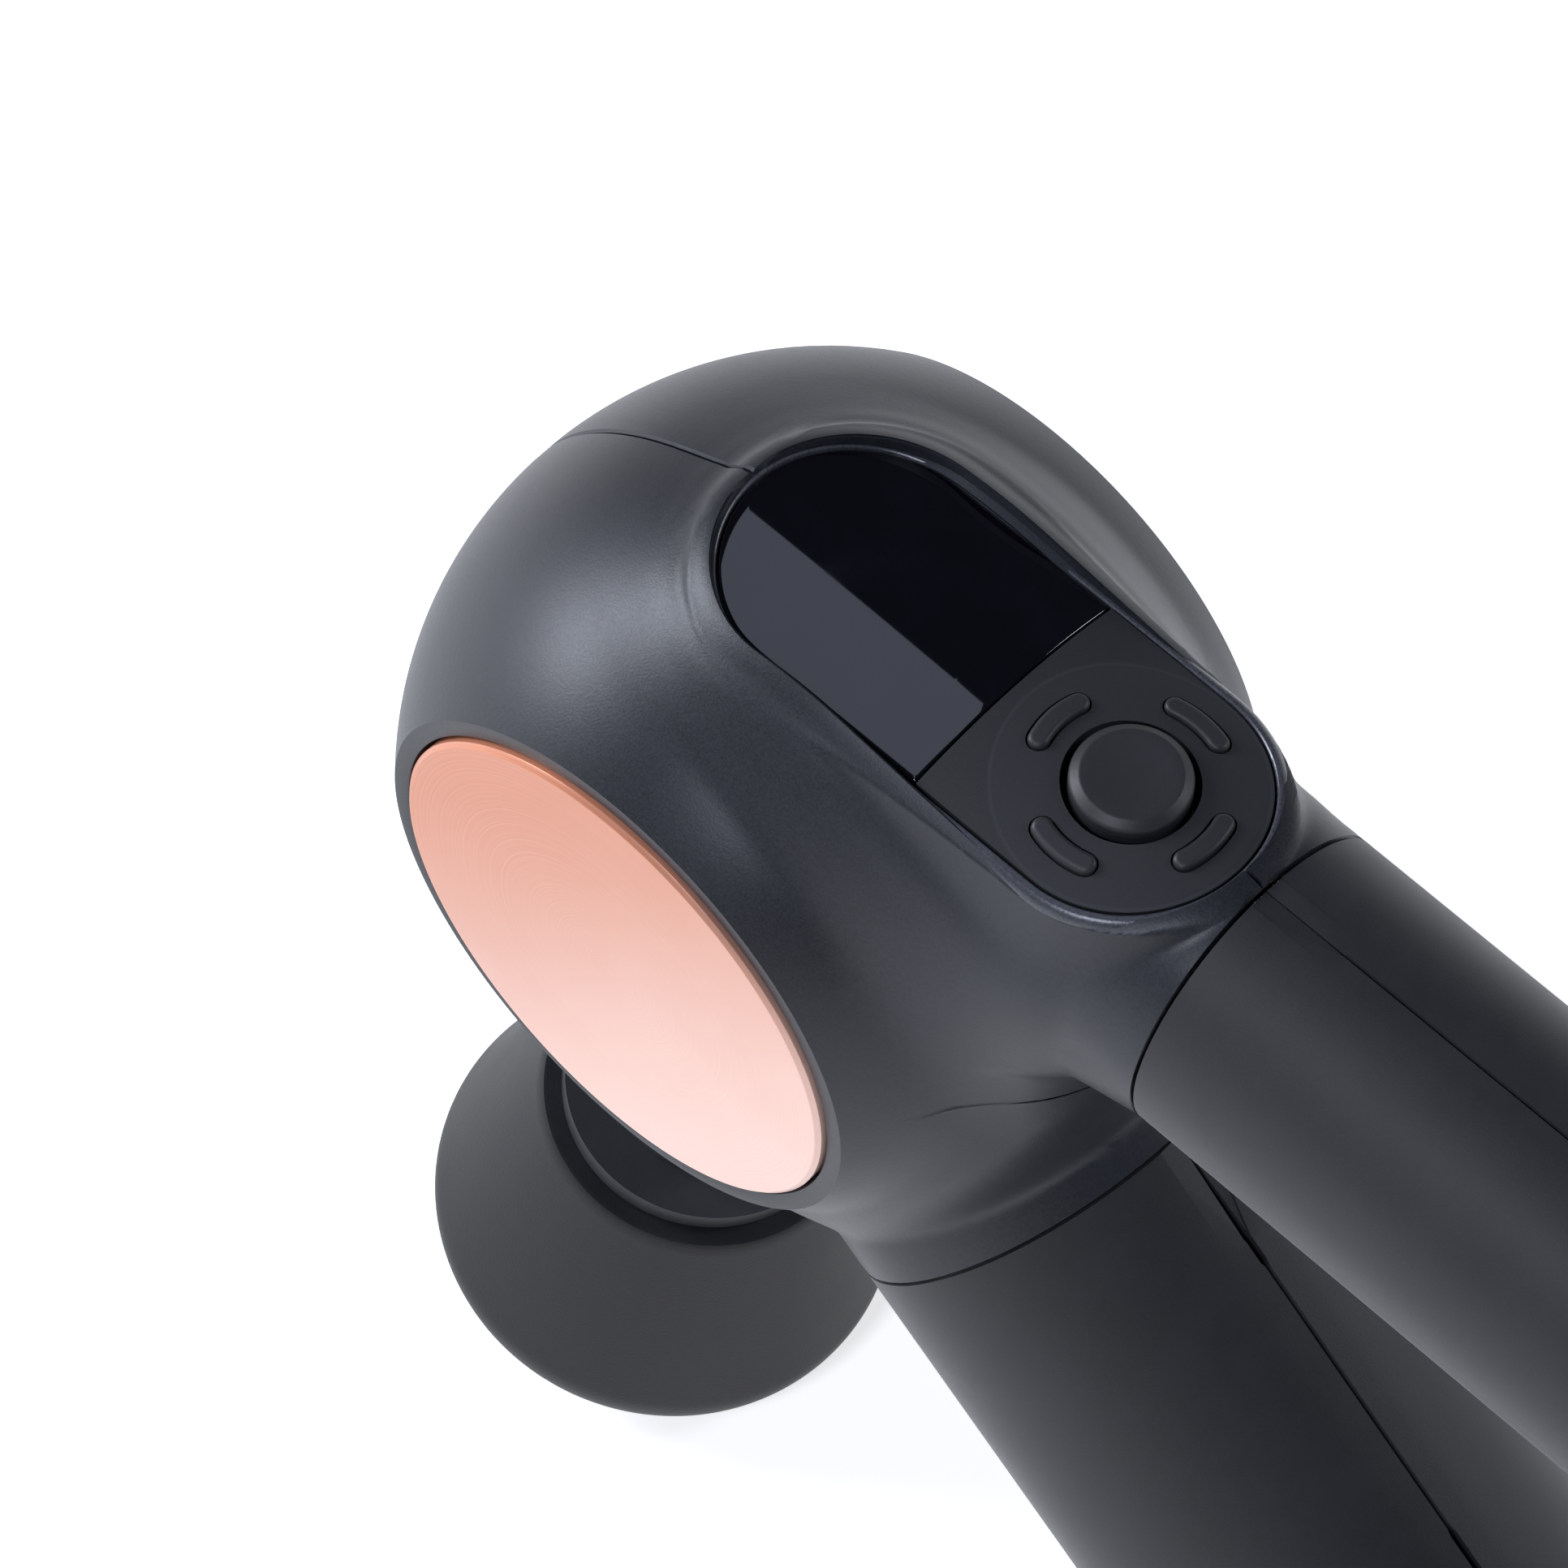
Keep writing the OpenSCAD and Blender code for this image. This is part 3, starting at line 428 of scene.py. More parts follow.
class Graph:
    """One material's nodes. add() makes any node; the other methods are common uses of it."""

    def __init__(self, name):
        self.material = bpy.data.materials.new(name)
        self.material.use_nodes = True
        self.nodes = self.material.node_tree.nodes
        self.links = self.material.node_tree.links
        self.shader = self.nodes["Principled BSDF"]
        self.place = self.add("ShaderNodeTexCoord", {}, {}, "Object")

    def fill(self, socket, value):
        """Links a Value to a socket, or sets a plain number, colour or vector on it."""
        if isinstance(value, Value):
            self.links.new(value.socket, socket)
        else:
            socket.default_value = value

    def add(self, kind, settings, inputs, output=0):
        """A node of one kind: its settings are set first, then its sockets by name or number."""
        node = self.nodes.new(kind)
        for key, value in settings.items():
            setattr(node, key, value)
        for key, value in inputs.items():
            self.fill(node.inputs[key], value)
        return Value(self, node.outputs[output])

    def noise(self, size, detail=3.0, roughness=0.55, place=None):
        """Noise from 0 to 1 whose blotches are about size metres wide."""
        return self.add("ShaderNodeTexNoise", {}, {"Vector": place or self.place, "Scale": 1.0 / size,
                                                   "Detail": detail, "Roughness": roughness})

    def mix(self, share, a, b):
        """Colour a turning into colour b as share goes from 0 to 1."""
        a = (*a, 1.0) if isinstance(a, tuple) and len(a) == 3 else a
        b = (*b, 1.0) if isinstance(b, tuple) and len(b) == 3 else b
        return self.add("ShaderNodeMix", {"data_type": "RGBA"}, {0: share, 6: a, 7: b}, 2)

    def bump(self, height, distance, strength=1.0):
        """Normal that a height from 0 to 1 over a distance in metres gives."""
        return self.add("ShaderNodeBump", {}, {"Strength": strength, "Distance": distance,
                                               "Height": height}, 0)

    def distance(self, centre, plane=(1.0, 1.0, 1.0)):
        """Distance to a point of the row's frame, measured only along the axes of plane."""
        moved = self.add("ShaderNodeVectorMath", {"operation": "SUBTRACT"}, {0: self.place, 1: centre})
        kept = self.add("ShaderNodeVectorMath", {"operation": "MULTIPLY"}, {0: moved, 1: plane})
        return self.add("ShaderNodeVectorMath", {"operation": "LENGTH"}, {0: kept}, "Value")

    def set(self, **values):
        """Sets or links sockets of the shader, with _ for a space in their names."""
        for key, value in values.items():
            self.fill(self.shader.inputs[key.replace("_", " ")], value)
        return self.material


def scaled(colour, factor):
    """A colour made lighter or darker, as a plain tuple."""
    return tuple(min(1.0, c * factor) for c in colour)


def moulded(name, colour, roughness=0.5, grain=0.25 * MM, relief=0.02 * MM, mottle=0.12, metallic=0.0,
            coat=0.0):
    """Moulded, cast or rubber finish: fine grain in the surface, and broad faint blotches of shade."""
    g = Graph(name)
    blotch = g.noise(9 * MM, 4.0)
    fine = g.noise(grain, 2.0, 0.6)
    colour = tuple(colour)
    shade = (blotch * 0.65 + fine * 0.35).between(0.3, 0.7)
    g.set(Base_Color=g.mix(shade, scaled(colour, 1 - mottle), scaled(colour, 1 + mottle)),
          Roughness=(roughness + (blotch - 0.5) * 0.14 + (fine - 0.5) * 0.10).clamped(),
          Metallic=metallic, Coat_Weight=coat, Normal=g.bump(fine, relief))
    return g.material


def machined(name, colour, roughness=0.3, axis=None, grain=0.3 * MM):
    """Bare metal: fine tool marks, as rings around an axis through a point where one is given."""
    g = Graph(name)
    colour = tuple(colour)
    stain = g.noise(6 * MM, 4.0)
    if axis is None:
        marks = g.noise(grain, 3.0, 0.7)
    else:
        rings = g.distance(tuple(axis[0]), axis[1]) / grain
        marks = g.add("ShaderNodeTexNoise", {"noise_dimensions": "1D"},
                      {"W": rings, "Scale": 1.0, "Detail": 3.0, "Roughness": 0.7})
    g.set(Base_Color=g.mix(stain.between(0.35, 0.7), scaled(colour, 0.86), scaled(colour, 1.06)),
          Metallic=1.0, Roughness=(roughness + (marks - 0.5) * 0.16 + (stain - 0.5) * 0.12).clamped(),
          Normal=g.bump(marks, 0.006 * MM))
    return g.material


COVER_SHADE_DIRECTION = np.array([0.72, 0.0, -0.69])  # direction of the painted shade and reflection across the side covers, from copper to pink
ROW_HEAD = tuple(HEAD)
AROUND_Y = (1.0, 0.0, 1.0)  # axes that count in a distance to the motor's axis


def shell_finish(colour, name="satin_shell", gloss=0.42):
    """Satin bead-blasted casing: a tight speckle, and a painted sheen of faint blue in broad random
    patches.
    """
    g = Graph(name)
    colour = tuple(colour)
    speckle = g.noise(0.26 * MM, 2.0, 0.6)
    grain = g.noise(0.60 * MM, 3.0, 0.6)
    broad = g.noise(24 * MM, 3.0)
    share = (speckle * 0.6 + grain * 0.4).between(0.30, 0.70)
    tone = g.mix(share, scaled(colour, 0.72), scaled(colour, 1.34))
    # Painted sheen: broad random patches lifted towards a paler blue.
    tone = g.mix(broad.between(0.35, 0.7) * 0.35, tone, (0.030, 0.034, 0.046))
    g.set(Base_Color=tone, Metallic=0.25, Specular_IOR_Level=0.55,
          Roughness=(gloss + (broad - 0.5) * 0.08 + (speckle - 0.5) * 0.16).clamped(),
          Normal=g.bump(speckle * 0.6 + grain * 0.4, 0.028 * MM))
    return g.material


def grip_finish(colours):
    """Soft-touch silicone: very fine grain, faint cloudy patches where it has been handled."""
    g = Graph("soft_silicone")
    colour = tuple(colours.grip)
    fine = g.noise(0.22 * MM, 3.0, 0.65)
    cloud = g.noise(7 * MM, 5.0, 0.6)
    wide = g.noise(38 * MM, 2.0)
    tone = g.mix(cloud.between(0.32, 0.68), scaled(colour, 0.90), scaled(colour, 1.10))
    tone = g.mix(fine.between(0.45, 0.75) * 0.45, tone, scaled(colour, 1.7))
    g.set(Base_Color=tone, Roughness=(0.52 + (cloud - 0.5) * 0.10 + (wide - 0.5) * 0.10).clamped(),
          Specular_IOR_Level=0.45, Sheen_Weight=0.12, Sheen_Roughness=0.4,
          Normal=g.bump(fine * 0.8 + cloud * 0.2, 0.022 * MM))
    return g.material


def rose_finish(colours):
    """Anodised disc: its own rose colour, with painted shade and reflection running from copper to pale
    pink across it, and rings left by turning.
    """
    g = Graph("rose_metal")
    along = g.add("ShaderNodeVectorMath", {"operation": "DOT_PRODUCT"},
                  {0: g.place, 1: tuple(COVER_SHADE_DIRECTION)}, "Value")
    start = float(HEAD @ COVER_SHADE_DIRECTION)
    share = (along - (start - COVER_R)) / (2 * COVER_R)
    cloud = g.noise(16 * MM, 3.0)
    rings = g.add("ShaderNodeTexNoise", {"noise_dimensions": "1D"},
                  {"W": g.distance(ROW_HEAD, AROUND_Y) / (0.22 * MM), "Scale": 1.0, "Detail": 4.0,
                   "Roughness": 0.7})
    share = (share + (cloud - 0.5) * 0.18).between(0.05, 0.98)
    # Painted shade and reflection: deep copper at one end of the disc, pale pink at the other.
    tone = g.mix(share, tuple(colours.copper), tuple(colours.pink))
    tone = g.mix(rings.between(0.4, 0.8) * 0.14, tone, (0.98, 0.86, 0.80))
    g.set(Base_Color=tone, Metallic=0.35, Roughness=(0.34 + (rings - 0.5) * 0.10 + (cloud - 0.5) * 0.06),
          Normal=g.bump(rings, 0.004 * MM))
    return g.material


def glass_finish(colours):
    """Black screen glass: clear gloss with the faintest smears of handling."""
    g = Graph("screen_glass")
    colour = tuple(colours.glass)
    smear = g.noise(11 * MM, 5.0, 0.6)
    dust = g.noise(0.3 * MM, 2.0, 0.5)
    g.set(Base_Color=g.mix(smear.between(0.4, 0.75), colour, scaled(colour, 1.8)),
          Roughness=0.035 + smear.between(0.45, 0.8) * 0.06 + dust.between(0.7, 0.8) * 0.05,
          Coat_Weight=1.0, Coat_Roughness=0.03, Specular_IOR_Level=0.6)
    return g.material


def pad_finish(colours):
    """Matte pad: fine grain, painted shading that makes a round patch around the buttons lighter, and a
    painted highlight ring at its edge.
    """
    g = Graph("control_pad_rubber")
    colour = tuple(colours.pad)
    centre = tuple(PAD_MIDDLE + HEAD)
    off = g.distance(centre, (1.0, 1.0, 0.0))
    # Painted shading: lighter inside a circle of about 14 mm around the buttons, darker outside it.
    painted_round_shading = 1 - off.between(13.6 * MM, 14.6 * MM)
    # Painted highlight: a thin bright ring on that circle's edge.
    ring = off.between(13.9 * MM, 14.2 * MM) * (1 - off.between(14.2 * MM, 14.6 * MM))
    fine = g.noise(0.2 * MM, 3.0, 0.6)
    cloud = g.noise(8 * MM, 4.0)
    tone = g.mix(painted_round_shading * 0.55, scaled(colour, 0.86), scaled(colour, 1.12))
    tone = g.mix(ring * 0.5, tone, scaled(colour, 1.8))
    tone = g.mix(fine.between(0.4, 0.75) * 0.35, tone, scaled(colour, 1.5))
    g.set(Base_Color=tone, Roughness=(0.50 + (cloud - 0.5) * 0.12 + (fine - 0.5) * 0.12).clamped(),
          Normal=g.bump(fine, 0.012 * MM))
    return g.material


def cushion_finish(colours):
    """Moulded solid rubber: very fine pores, a dull sheen, and slightly paler where it is rubbed."""
    g = Graph("cushion_rubber")
    colour = tuple(colours.cushion)
    pores = g.add("ShaderNodeTexVoronoi", {"feature": "F1"}, {"Vector": g.place, "Scale": 1 / (0.55 * MM)},
                  "Distance")
    fine = g.noise(0.3 * MM, 3.0, 0.65)
    cloud = g.noise(10 * MM, 4.0)
    tone = g.mix(cloud.between(0.3, 0.7), scaled(colour, 0.82), scaled(colour, 1.22))
    tone = g.mix(pores.between(0.0, 0.28) * -0.5 + 0.5, tone, scaled(colour, 0.5))
    g.set(Base_Color=tone, Roughness=(0.50 + (cloud - 0.5) * 0.14 + (fine - 0.5) * 0.1).clamped(),
          Specular_IOR_Level=0.28,
          Normal=g.bump(fine * 0.5 + pores.between(0.0, 0.4) * 0.5, 0.03 * MM))
    return g.material


def wound_finish():
    """Enamelled copper wire, wound in tight turns."""
    g = Graph("copper_winding")
    turns = g.add("ShaderNodeTexWave", {"bands_direction": "DIAGONAL"},
                  {"Vector": g.place, "Scale": 1 / (1.6 * MM), "Distortion": 0.8, "Detail": 2.0})
    tone = g.mix(turns, (0.40, 0.13, 0.05), (0.80, 0.34, 0.16))
    g.set(Base_Color=tone, Metallic=0.9, Roughness=0.34 - turns * 0.1, Coat_Weight=0.6,
          Normal=g.bump(turns, 0.10 * MM))
    return g.material


def board_finish():
    """Circuit board: near-black mask over copper tracks."""
    g = Graph("circuit_board")
    tracks = g.add("ShaderNodeTexBrick", {"offset": 0.5},
                   {"Vector": g.place, "Scale": 1 / (9 * MM), "Mortar Size": 0.05}, "Fac")
    fleck = g.noise(0.8 * MM, 2.0)
    tone = g.mix(tracks, (0.004, 0.008, 0.007), (0.010, 0.020, 0.017))
    g.set(Base_Color=tone, Roughness=0.28 + (fleck - 0.5) * 0.14, Coat_Weight=0.4,
          Normal=g.bump(tracks * 0.8 + fleck * 0.2, 0.03 * MM))
    return g.material


def layered_finish():
    """Stack of thin varnished steel sheets, edge on."""
    g = Graph("lamination_stack")
    across = g.add("ShaderNodeSeparateXYZ", {}, {0: g.place}, "Y")
    sheets = g.add("ShaderNodeMath", {"operation": "PINGPONG"}, {0: across / (0.35 * MM), 1: 1.0})
    fine = g.noise(0.5 * MM, 3.0)
    g.set(Base_Color=g.mix(sheets, (0.10, 0.105, 0.12), (0.30, 0.31, 0.33)), Metallic=0.8,
          Roughness=0.38 + (fine - 0.5) * 0.2, Normal=g.bump(sheets, 0.05 * MM))
    return g.material


def wrap_finish():
    """Shrink-wrapped cell: thin glossy film with faint lengthwise drag."""
    g = Graph("cell_wrap")
    drag = g.add("ShaderNodeMapping", {}, {"Vector": g.place, "Rotation": (0.0, math.radians(38), 0.0),
                                           "Scale": (0.12, 1.0, 1.0)})
    film = g.noise(1.2 * MM, 3.0, 0.6, drag)
    g.set(Base_Color=g.mix(film.between(0.3, 0.7), (0.030, 0.15, 0.34), (0.055, 0.24, 0.50)),
          Roughness=0.22 + (film - 0.5) * 0.12, Coat_Weight=0.5, Normal=g.bump(film, 0.02 * MM))
    return g.material


def all_finishes(colours):
    """Every material slot of the record with its finish."""
    spin = (ROW_HEAD, AROUND_Y)
    return {
        "shell": shell_finish(colours.shell),
        "soft_grip": grip_finish(colours),
        "rose_metal": rose_finish(colours),
        "screen_glass": glass_finish(colours),
        "pad": pad_finish(colours),
        "cushion_rubber": cushion_finish(colours),
        "display_plastic": moulded("display_plastic", (0.02, 0.035, 0.07), 0.35, coat=0.3),
        "circuit_board": board_finish(),
        "switch_metal": machined("switch_metal", (0.72, 0.72, 0.73), 0.25),
        "inner_plastic": moulded("inner_plastic", (0.028, 0.029, 0.033), 0.48),
        "cast_frame": moulded("cast_frame", (0.52, 0.53, 0.55), 0.42, 0.5 * MM, 0.05 * MM, 0.1, 1.0),
        "lamination": layered_finish(),
        "copper_winding": wound_finish(),
        "rotor_steel": machined("rotor_steel", (0.55, 0.56, 0.58), 0.32, spin),
        "magnet": machined("magnet", (0.30, 0.31, 0.34), 0.45),
        "polished_steel": machined("polished_steel", (0.80, 0.81, 0.83), 0.12),
        "brass_weight": machined("brass_weight", (0.72, 0.52, 0.22), 0.30, spin),
        "bronze": machined("bronze", (0.60, 0.40, 0.19), 0.46),
        "black_rubber": moulded("black_rubber", (0.014, 0.014, 0.016), 0.72, 0.3 * MM),
        "cell_wrap": wrap_finish(),
        "natural_plastic": moulded("natural_plastic", (0.62, 0.60, 0.52), 0.45),
        "screw_steel": machined("screw_steel", (0.60, 0.61, 0.63), 0.30),
    }


FINISHES = {}


def finish_piece(piece, slot, body, *nodes):
    """Gives a new piece its material, its body and the CAD nodes that it stands for."""
    piece.data.materials.clear()
    piece.data.materials.append(FINISHES[slot])
    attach(piece, body)
    if nodes:
        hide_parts(*nodes)
    return piece


class MASSAGER_OT_finishes(bpy.types.Operator):
    """Make every finish and give each CAD node the one that the record names for it"""

    bl_idname = "massager.finishes"
    bl_label = "Finishes"

    def execute(self, context):
        FINISHES.update(all_finishes(context.scene.massager_colours))
        for part in frame["record"]["subparts"]:
            node = frame["nodes"][part["node"]]
            node.data.materials.clear()
            node.data.materials.append(FINISHES[part["material_slot"]])
            node.data.polygons.foreach_set("material_index", [0] * len(node.data.polygons))
        return {"FINISHED"}


# ---- Casings ----


def head_outline(sizes):
    """Rim of a head half, as columns of (x, z), lowest y and inset, in one turn around the head.

    It follows the seam plane, steps out to the ends of the arms and of the nose, and runs along
    the deck's rim at the top.
    """
    half = sizes.seam / 2
    seam_inset = 0.0015 * MM
    upper_end = UPPER_START - 2 * RING_GAP
    lower_end = LOWER_SEAM - RING_GAP
    planes = [(np.array([1.0, 0, 0]), upper_end), (LOWER, lower_end), (DRIVE, NOSE_END)]

    def limited(p):
        """The head's field, cut off at the ends of the arms and of the nose."""
        f = head_field(p, sizes)
        for normal, far in planes:
            f = np.maximum(f, p @ normal - far)
        return f

    def seam(start, end, count):
        """Where rays in the seam plane, from start to end in degrees, leave the head."""
        a = np.radians(np.linspace(start, end, count + 2)[1:-1])
        ray = points(np.cos(a), np.zeros_like(a), np.sin(a))
        r = root(lambda r: limited(r[:, None] * ray + half * np.array([0, 1.0, 0])),
                 np.full(a.shape, 34 * MM), np.full(a.shape, 95 * MM))
        q = r[:, None] * ray
        return q[:, [0, 2]], np.full(count, half), np.full(count, seam_inset)

    def end(centre, across, radius, count=34):
        """The half circle in which an arm ends, seen edge on."""
        d = -np.cos(np.linspace(0, math.pi, count))
        q = centre + radius * d[:, None] * across
        y = np.maximum(radius * np.sqrt(np.maximum(1 - d * d, 0)), half)
        return q[:, [0, 2]], y, np.full(count, END_INSET)

    upper = end(np.array([upper_end, 0, UPPER_Z]), UP, UPPER_R)
    lower = end(lower_point(lower_end, 0.0), -LOWER_OUT, LOWER_R)
    nose = end(DRIVE * NOSE_END, np.array([-DRIVE[2], 0, DRIVE[0]]), nose_radius())
    reach = DECK_R + 0.9 * MM
    quarter = np.sin(np.linspace(math.pi / 2, 0, 56))
    x = np.concatenate([DECK_REAR + reach * quarter, np.linspace(DECK_REAR, DECK_FRONT, 60)[1:-1],
                        DECK_FRONT - reach * quarter[::-1]])
    past = x - np.clip(x, DECK_FRONT, DECK_REAR)
    y = np.maximum(np.sqrt(np.maximum(reach**2 - past**2, 0)), half)
    z = root(lambda z: head_field(points(x, y, z), sizes), np.full(x.shape, 30 * MM),
             np.full(x.shape, 52 * MM))
    deck = points(x, z), y, seam_inset + (END_INSET - seam_inset) * ease(y / (3 * MM))

    def at(piece, k):
        """Angle in degrees at which column k of a piece lies around the head's centre."""
        return bearing(*piece[0][k])

    parts = [seam(at(lower, -1), at(upper, 0), 40), upper, seam(at(upper, -1), at(deck, 0), 3), deck,
             seam(at(deck, -1), at(nose, 0) % 360, 90), nose,
             seam(at(nose, -1) % 360, at(lower, 0) % 360, 24), lower]
    return (np.concatenate([p[0] for p in parts]), np.concatenate([p[1] for p in parts]),
            np.concatenate([p[2] for p in parts]))


def head_half(sizes, side):
    """Grid of one head half: around the head, out of its rim, over the flat side and back inside."""
    rim, low, inset = head_outline(sizes)
    turn = np.arctan2(rim[:, 1], rim[:, 0])
    ray = points(np.cos(turn), np.sin(turn))
    crease = math.sqrt(sizes.head_radius**2 - sizes.flat_y**2)
    seat = COVER_R + sizes.cover_gap

    def flat_side():
        """Rows from the cover's seat, up its rounded wall, to the flat land around it."""
        rows = []
        for radius, y in [(seat - 4 * MM, COVER_BACK - 1.2 * MM), (seat - 4 * MM, COVER_BACK),
                          (seat, COVER_BACK), (seat, sizes.flat_y - 0.3 * MM),
                          (seat + 0.09 * MM, sizes.flat_y - 0.09 * MM), (seat + 0.3 * MM, sizes.flat_y),
                          (crease - 0.12 * MM, sizes.flat_y)]:
            row = [ray[:, 0] * radius, np.full(len(ray), y), ray[:, 1] * radius]
            rows.append(np.stack(row, axis=-1)[None])
        return rows

    return half_casing(ray * crease, rim, low, inset, lambda p: head_field(p, sizes), sizes, flat_side,
                       side)


def deck_rim_grid():
    """Narrow raised rim: a rounded profile carried around the deck's outline."""
    half = 72
    turn = np.concatenate([np.linspace(-math.pi / 2, math.pi / 2, half),
                           np.linspace(math.pi / 2, 1.5 * math.pi, half)])
    middle = np.where(np.arange(2 * half) < half, DECK_REAR, DECK_FRONT)
    out = points(np.cos(turn), np.sin(turn))
    profile = [(0.26, -2.6), (0.26, -0.12), (0.32, 0.04), (0.46, 0.17), (0.74, 0.24), (1.02, 0.19),
               (1.30, 0.05), (1.56, -0.20), (1.78, -0.60), (1.84, -2.6)]
    rows = []
    for away, rise in profile:
        x = middle + out[:, 0] * (DECK_R + away * MM)
        y = out[:, 1] * (DECK_R + away * MM)
        rows.append(points(x, y, deck_height(x, y) + rise * MM))
    return np.stack(rows)


class MASSAGER_OT_head(bpy.types.Operator):
    """Build the two head casings with their saddles to the arms, and the deck's rim"""

    bl_idname = "massager.head"
    bl_label = "Head casings"

    def execute(self, context):
        sizes = context.scene.massager_sizes
        for name, side in (("left", -1), ("right", 1)):
            piece = solid(f"head_casing_{name}", head_half(sizes, side), True)
            finish_piece(piece, "shell", "housing", f"head_shell_{name}")
        rim = finish_piece(solid("deck_rim", deck_rim_grid(), True), "shell", "housing")
        # Lighter rim colour: a painted highlight along the rim's rounded edge.
        rim.data.materials[0] = shell_finish(context.scene.massager_colours.rim, "satin_rim_painted_highlight", 0.30)
        return {"FINISHED"}


def no_rows():
    """No rows between the inside and the outside of a wall: each folds up along its own core."""
    return []


def upper_path(count=150):
    """Axis of the upper arm, the bend and the rear arm, with its normal towards the loop's outside.

    It is a straight, an arc and a straight, sampled at even steps of length.
    """
    straight = BEND[0] - UPPER_START
    end = BEND + BEND_R * REAR_OUT
    rear_length = np.linalg.norm(end - CORNER[[0, 2]]) - REAR_SEAM - RING_GAP
    sweep = math.radians(90 + REAR_LEAN)
    s = np.linspace(0, straight + BEND_R * sweep + rear_length, count)
    a = math.pi / 2 - np.clip((s - straight) / BEND_R, 0, sweep)
    out = points(np.cos(a), np.sin(a))
    along = points(np.sin(a), -np.cos(a))
    before = np.minimum(s - straight, 0)
    after = np.maximum(s - straight - BEND_R * sweep, 0)
    return BEND + out * BEND_R + along * (before + after)[:, None], out


def upper_field(p):
    """Distance to the axis of the upper loop, less the arm's radius.

    The axis is a straight before the bend, an arc and a straight after it; each part counts only
    where it is the one beside the point.
    """
    far = 9.0
    rel = p[..., [0, 2]] - BEND
    turn = np.arctan2(rel[..., 1], rel[..., 0])
    first = np.where(rel[..., 0] < 0, np.abs(rel[..., 1] - BEND_R), far)
    radial = np.abs(np.linalg.norm(rel, axis=-1) - BEND_R)
    inside = (turn <= math.pi / 2 + 1e-9) & (turn >= -math.radians(REAR_LEAN) - 1e-9)
    second = np.where(inside, radial, far)
    third = np.where(rel @ REAR < 0, np.abs(rel @ REAR_OUT - BEND_R), far)
    off = np.minimum(np.minimum(first, second), third)
    return np.hypot(off, p[..., 1]) - UPPER_R


def end_fan(centre, across, radius, low, count=30):
    """Rim columns of an arm's flat end, from -across to +across."""
    d = -np.cos(np.linspace(0, math.pi, count))
    y = np.maximum(radius * np.sqrt(np.maximum(1 - d * d, 0)), low)
    return centre + radius * d[:, None] * across, y


def upper_half(sizes, side):
    """Grid of one half of the upper grip: two arms and the bend between them."""
    path, out = upper_path()
    low = sizes.seam / 2
    margin = 7
    core = path[margin:-margin]
    normal = out[margin:-margin]
    first, first_y = end_fan(path[0], out[0], UPPER_R, low)
    last, last_y = end_fan(path[-1], -out[-1], UPPER_R, low)
    rim = np.concatenate([first, core + normal * UPPER_R, last, (core - normal * UPPER_R)[::-1]])
    inner = np.concatenate([np.repeat(core[:1], len(first), 0), core, np.repeat(core[-1:], len(last), 0),
                            core[::-1]])
    lows = np.concatenate([first_y, np.full(len(core), low), last_y, np.full(len(core), low)])
    along_seam = np.full(len(core), 0.002 * MM)
    inset = np.concatenate([np.full(len(first), END_INSET), along_seam, np.full(len(last), END_INSET),
                            along_seam])
    return half_casing(inner, rim, lows, inset, upper_field, sizes, no_rows, side, 26)


def lower_field(p):
    """Lower arm with its round end, melted a little into the root of the rear arm."""
    rear = np.array([REAR[0], 0.0, REAR[1]])
    start = lower_point(20 * MM, 0.0)
    arm = rod(p, start, LOWER, LOWER_R, CORNER_S - 20 * MM)
    root_arm = rod(p, CORNER, rear, UPPER_R)
    near = np.clip((REAR_SEAM - (p - CORNER) @ rear) / (6 * MM), 0, 1)
    return smooth_min(arm, root_arm, 6 * MM * near)


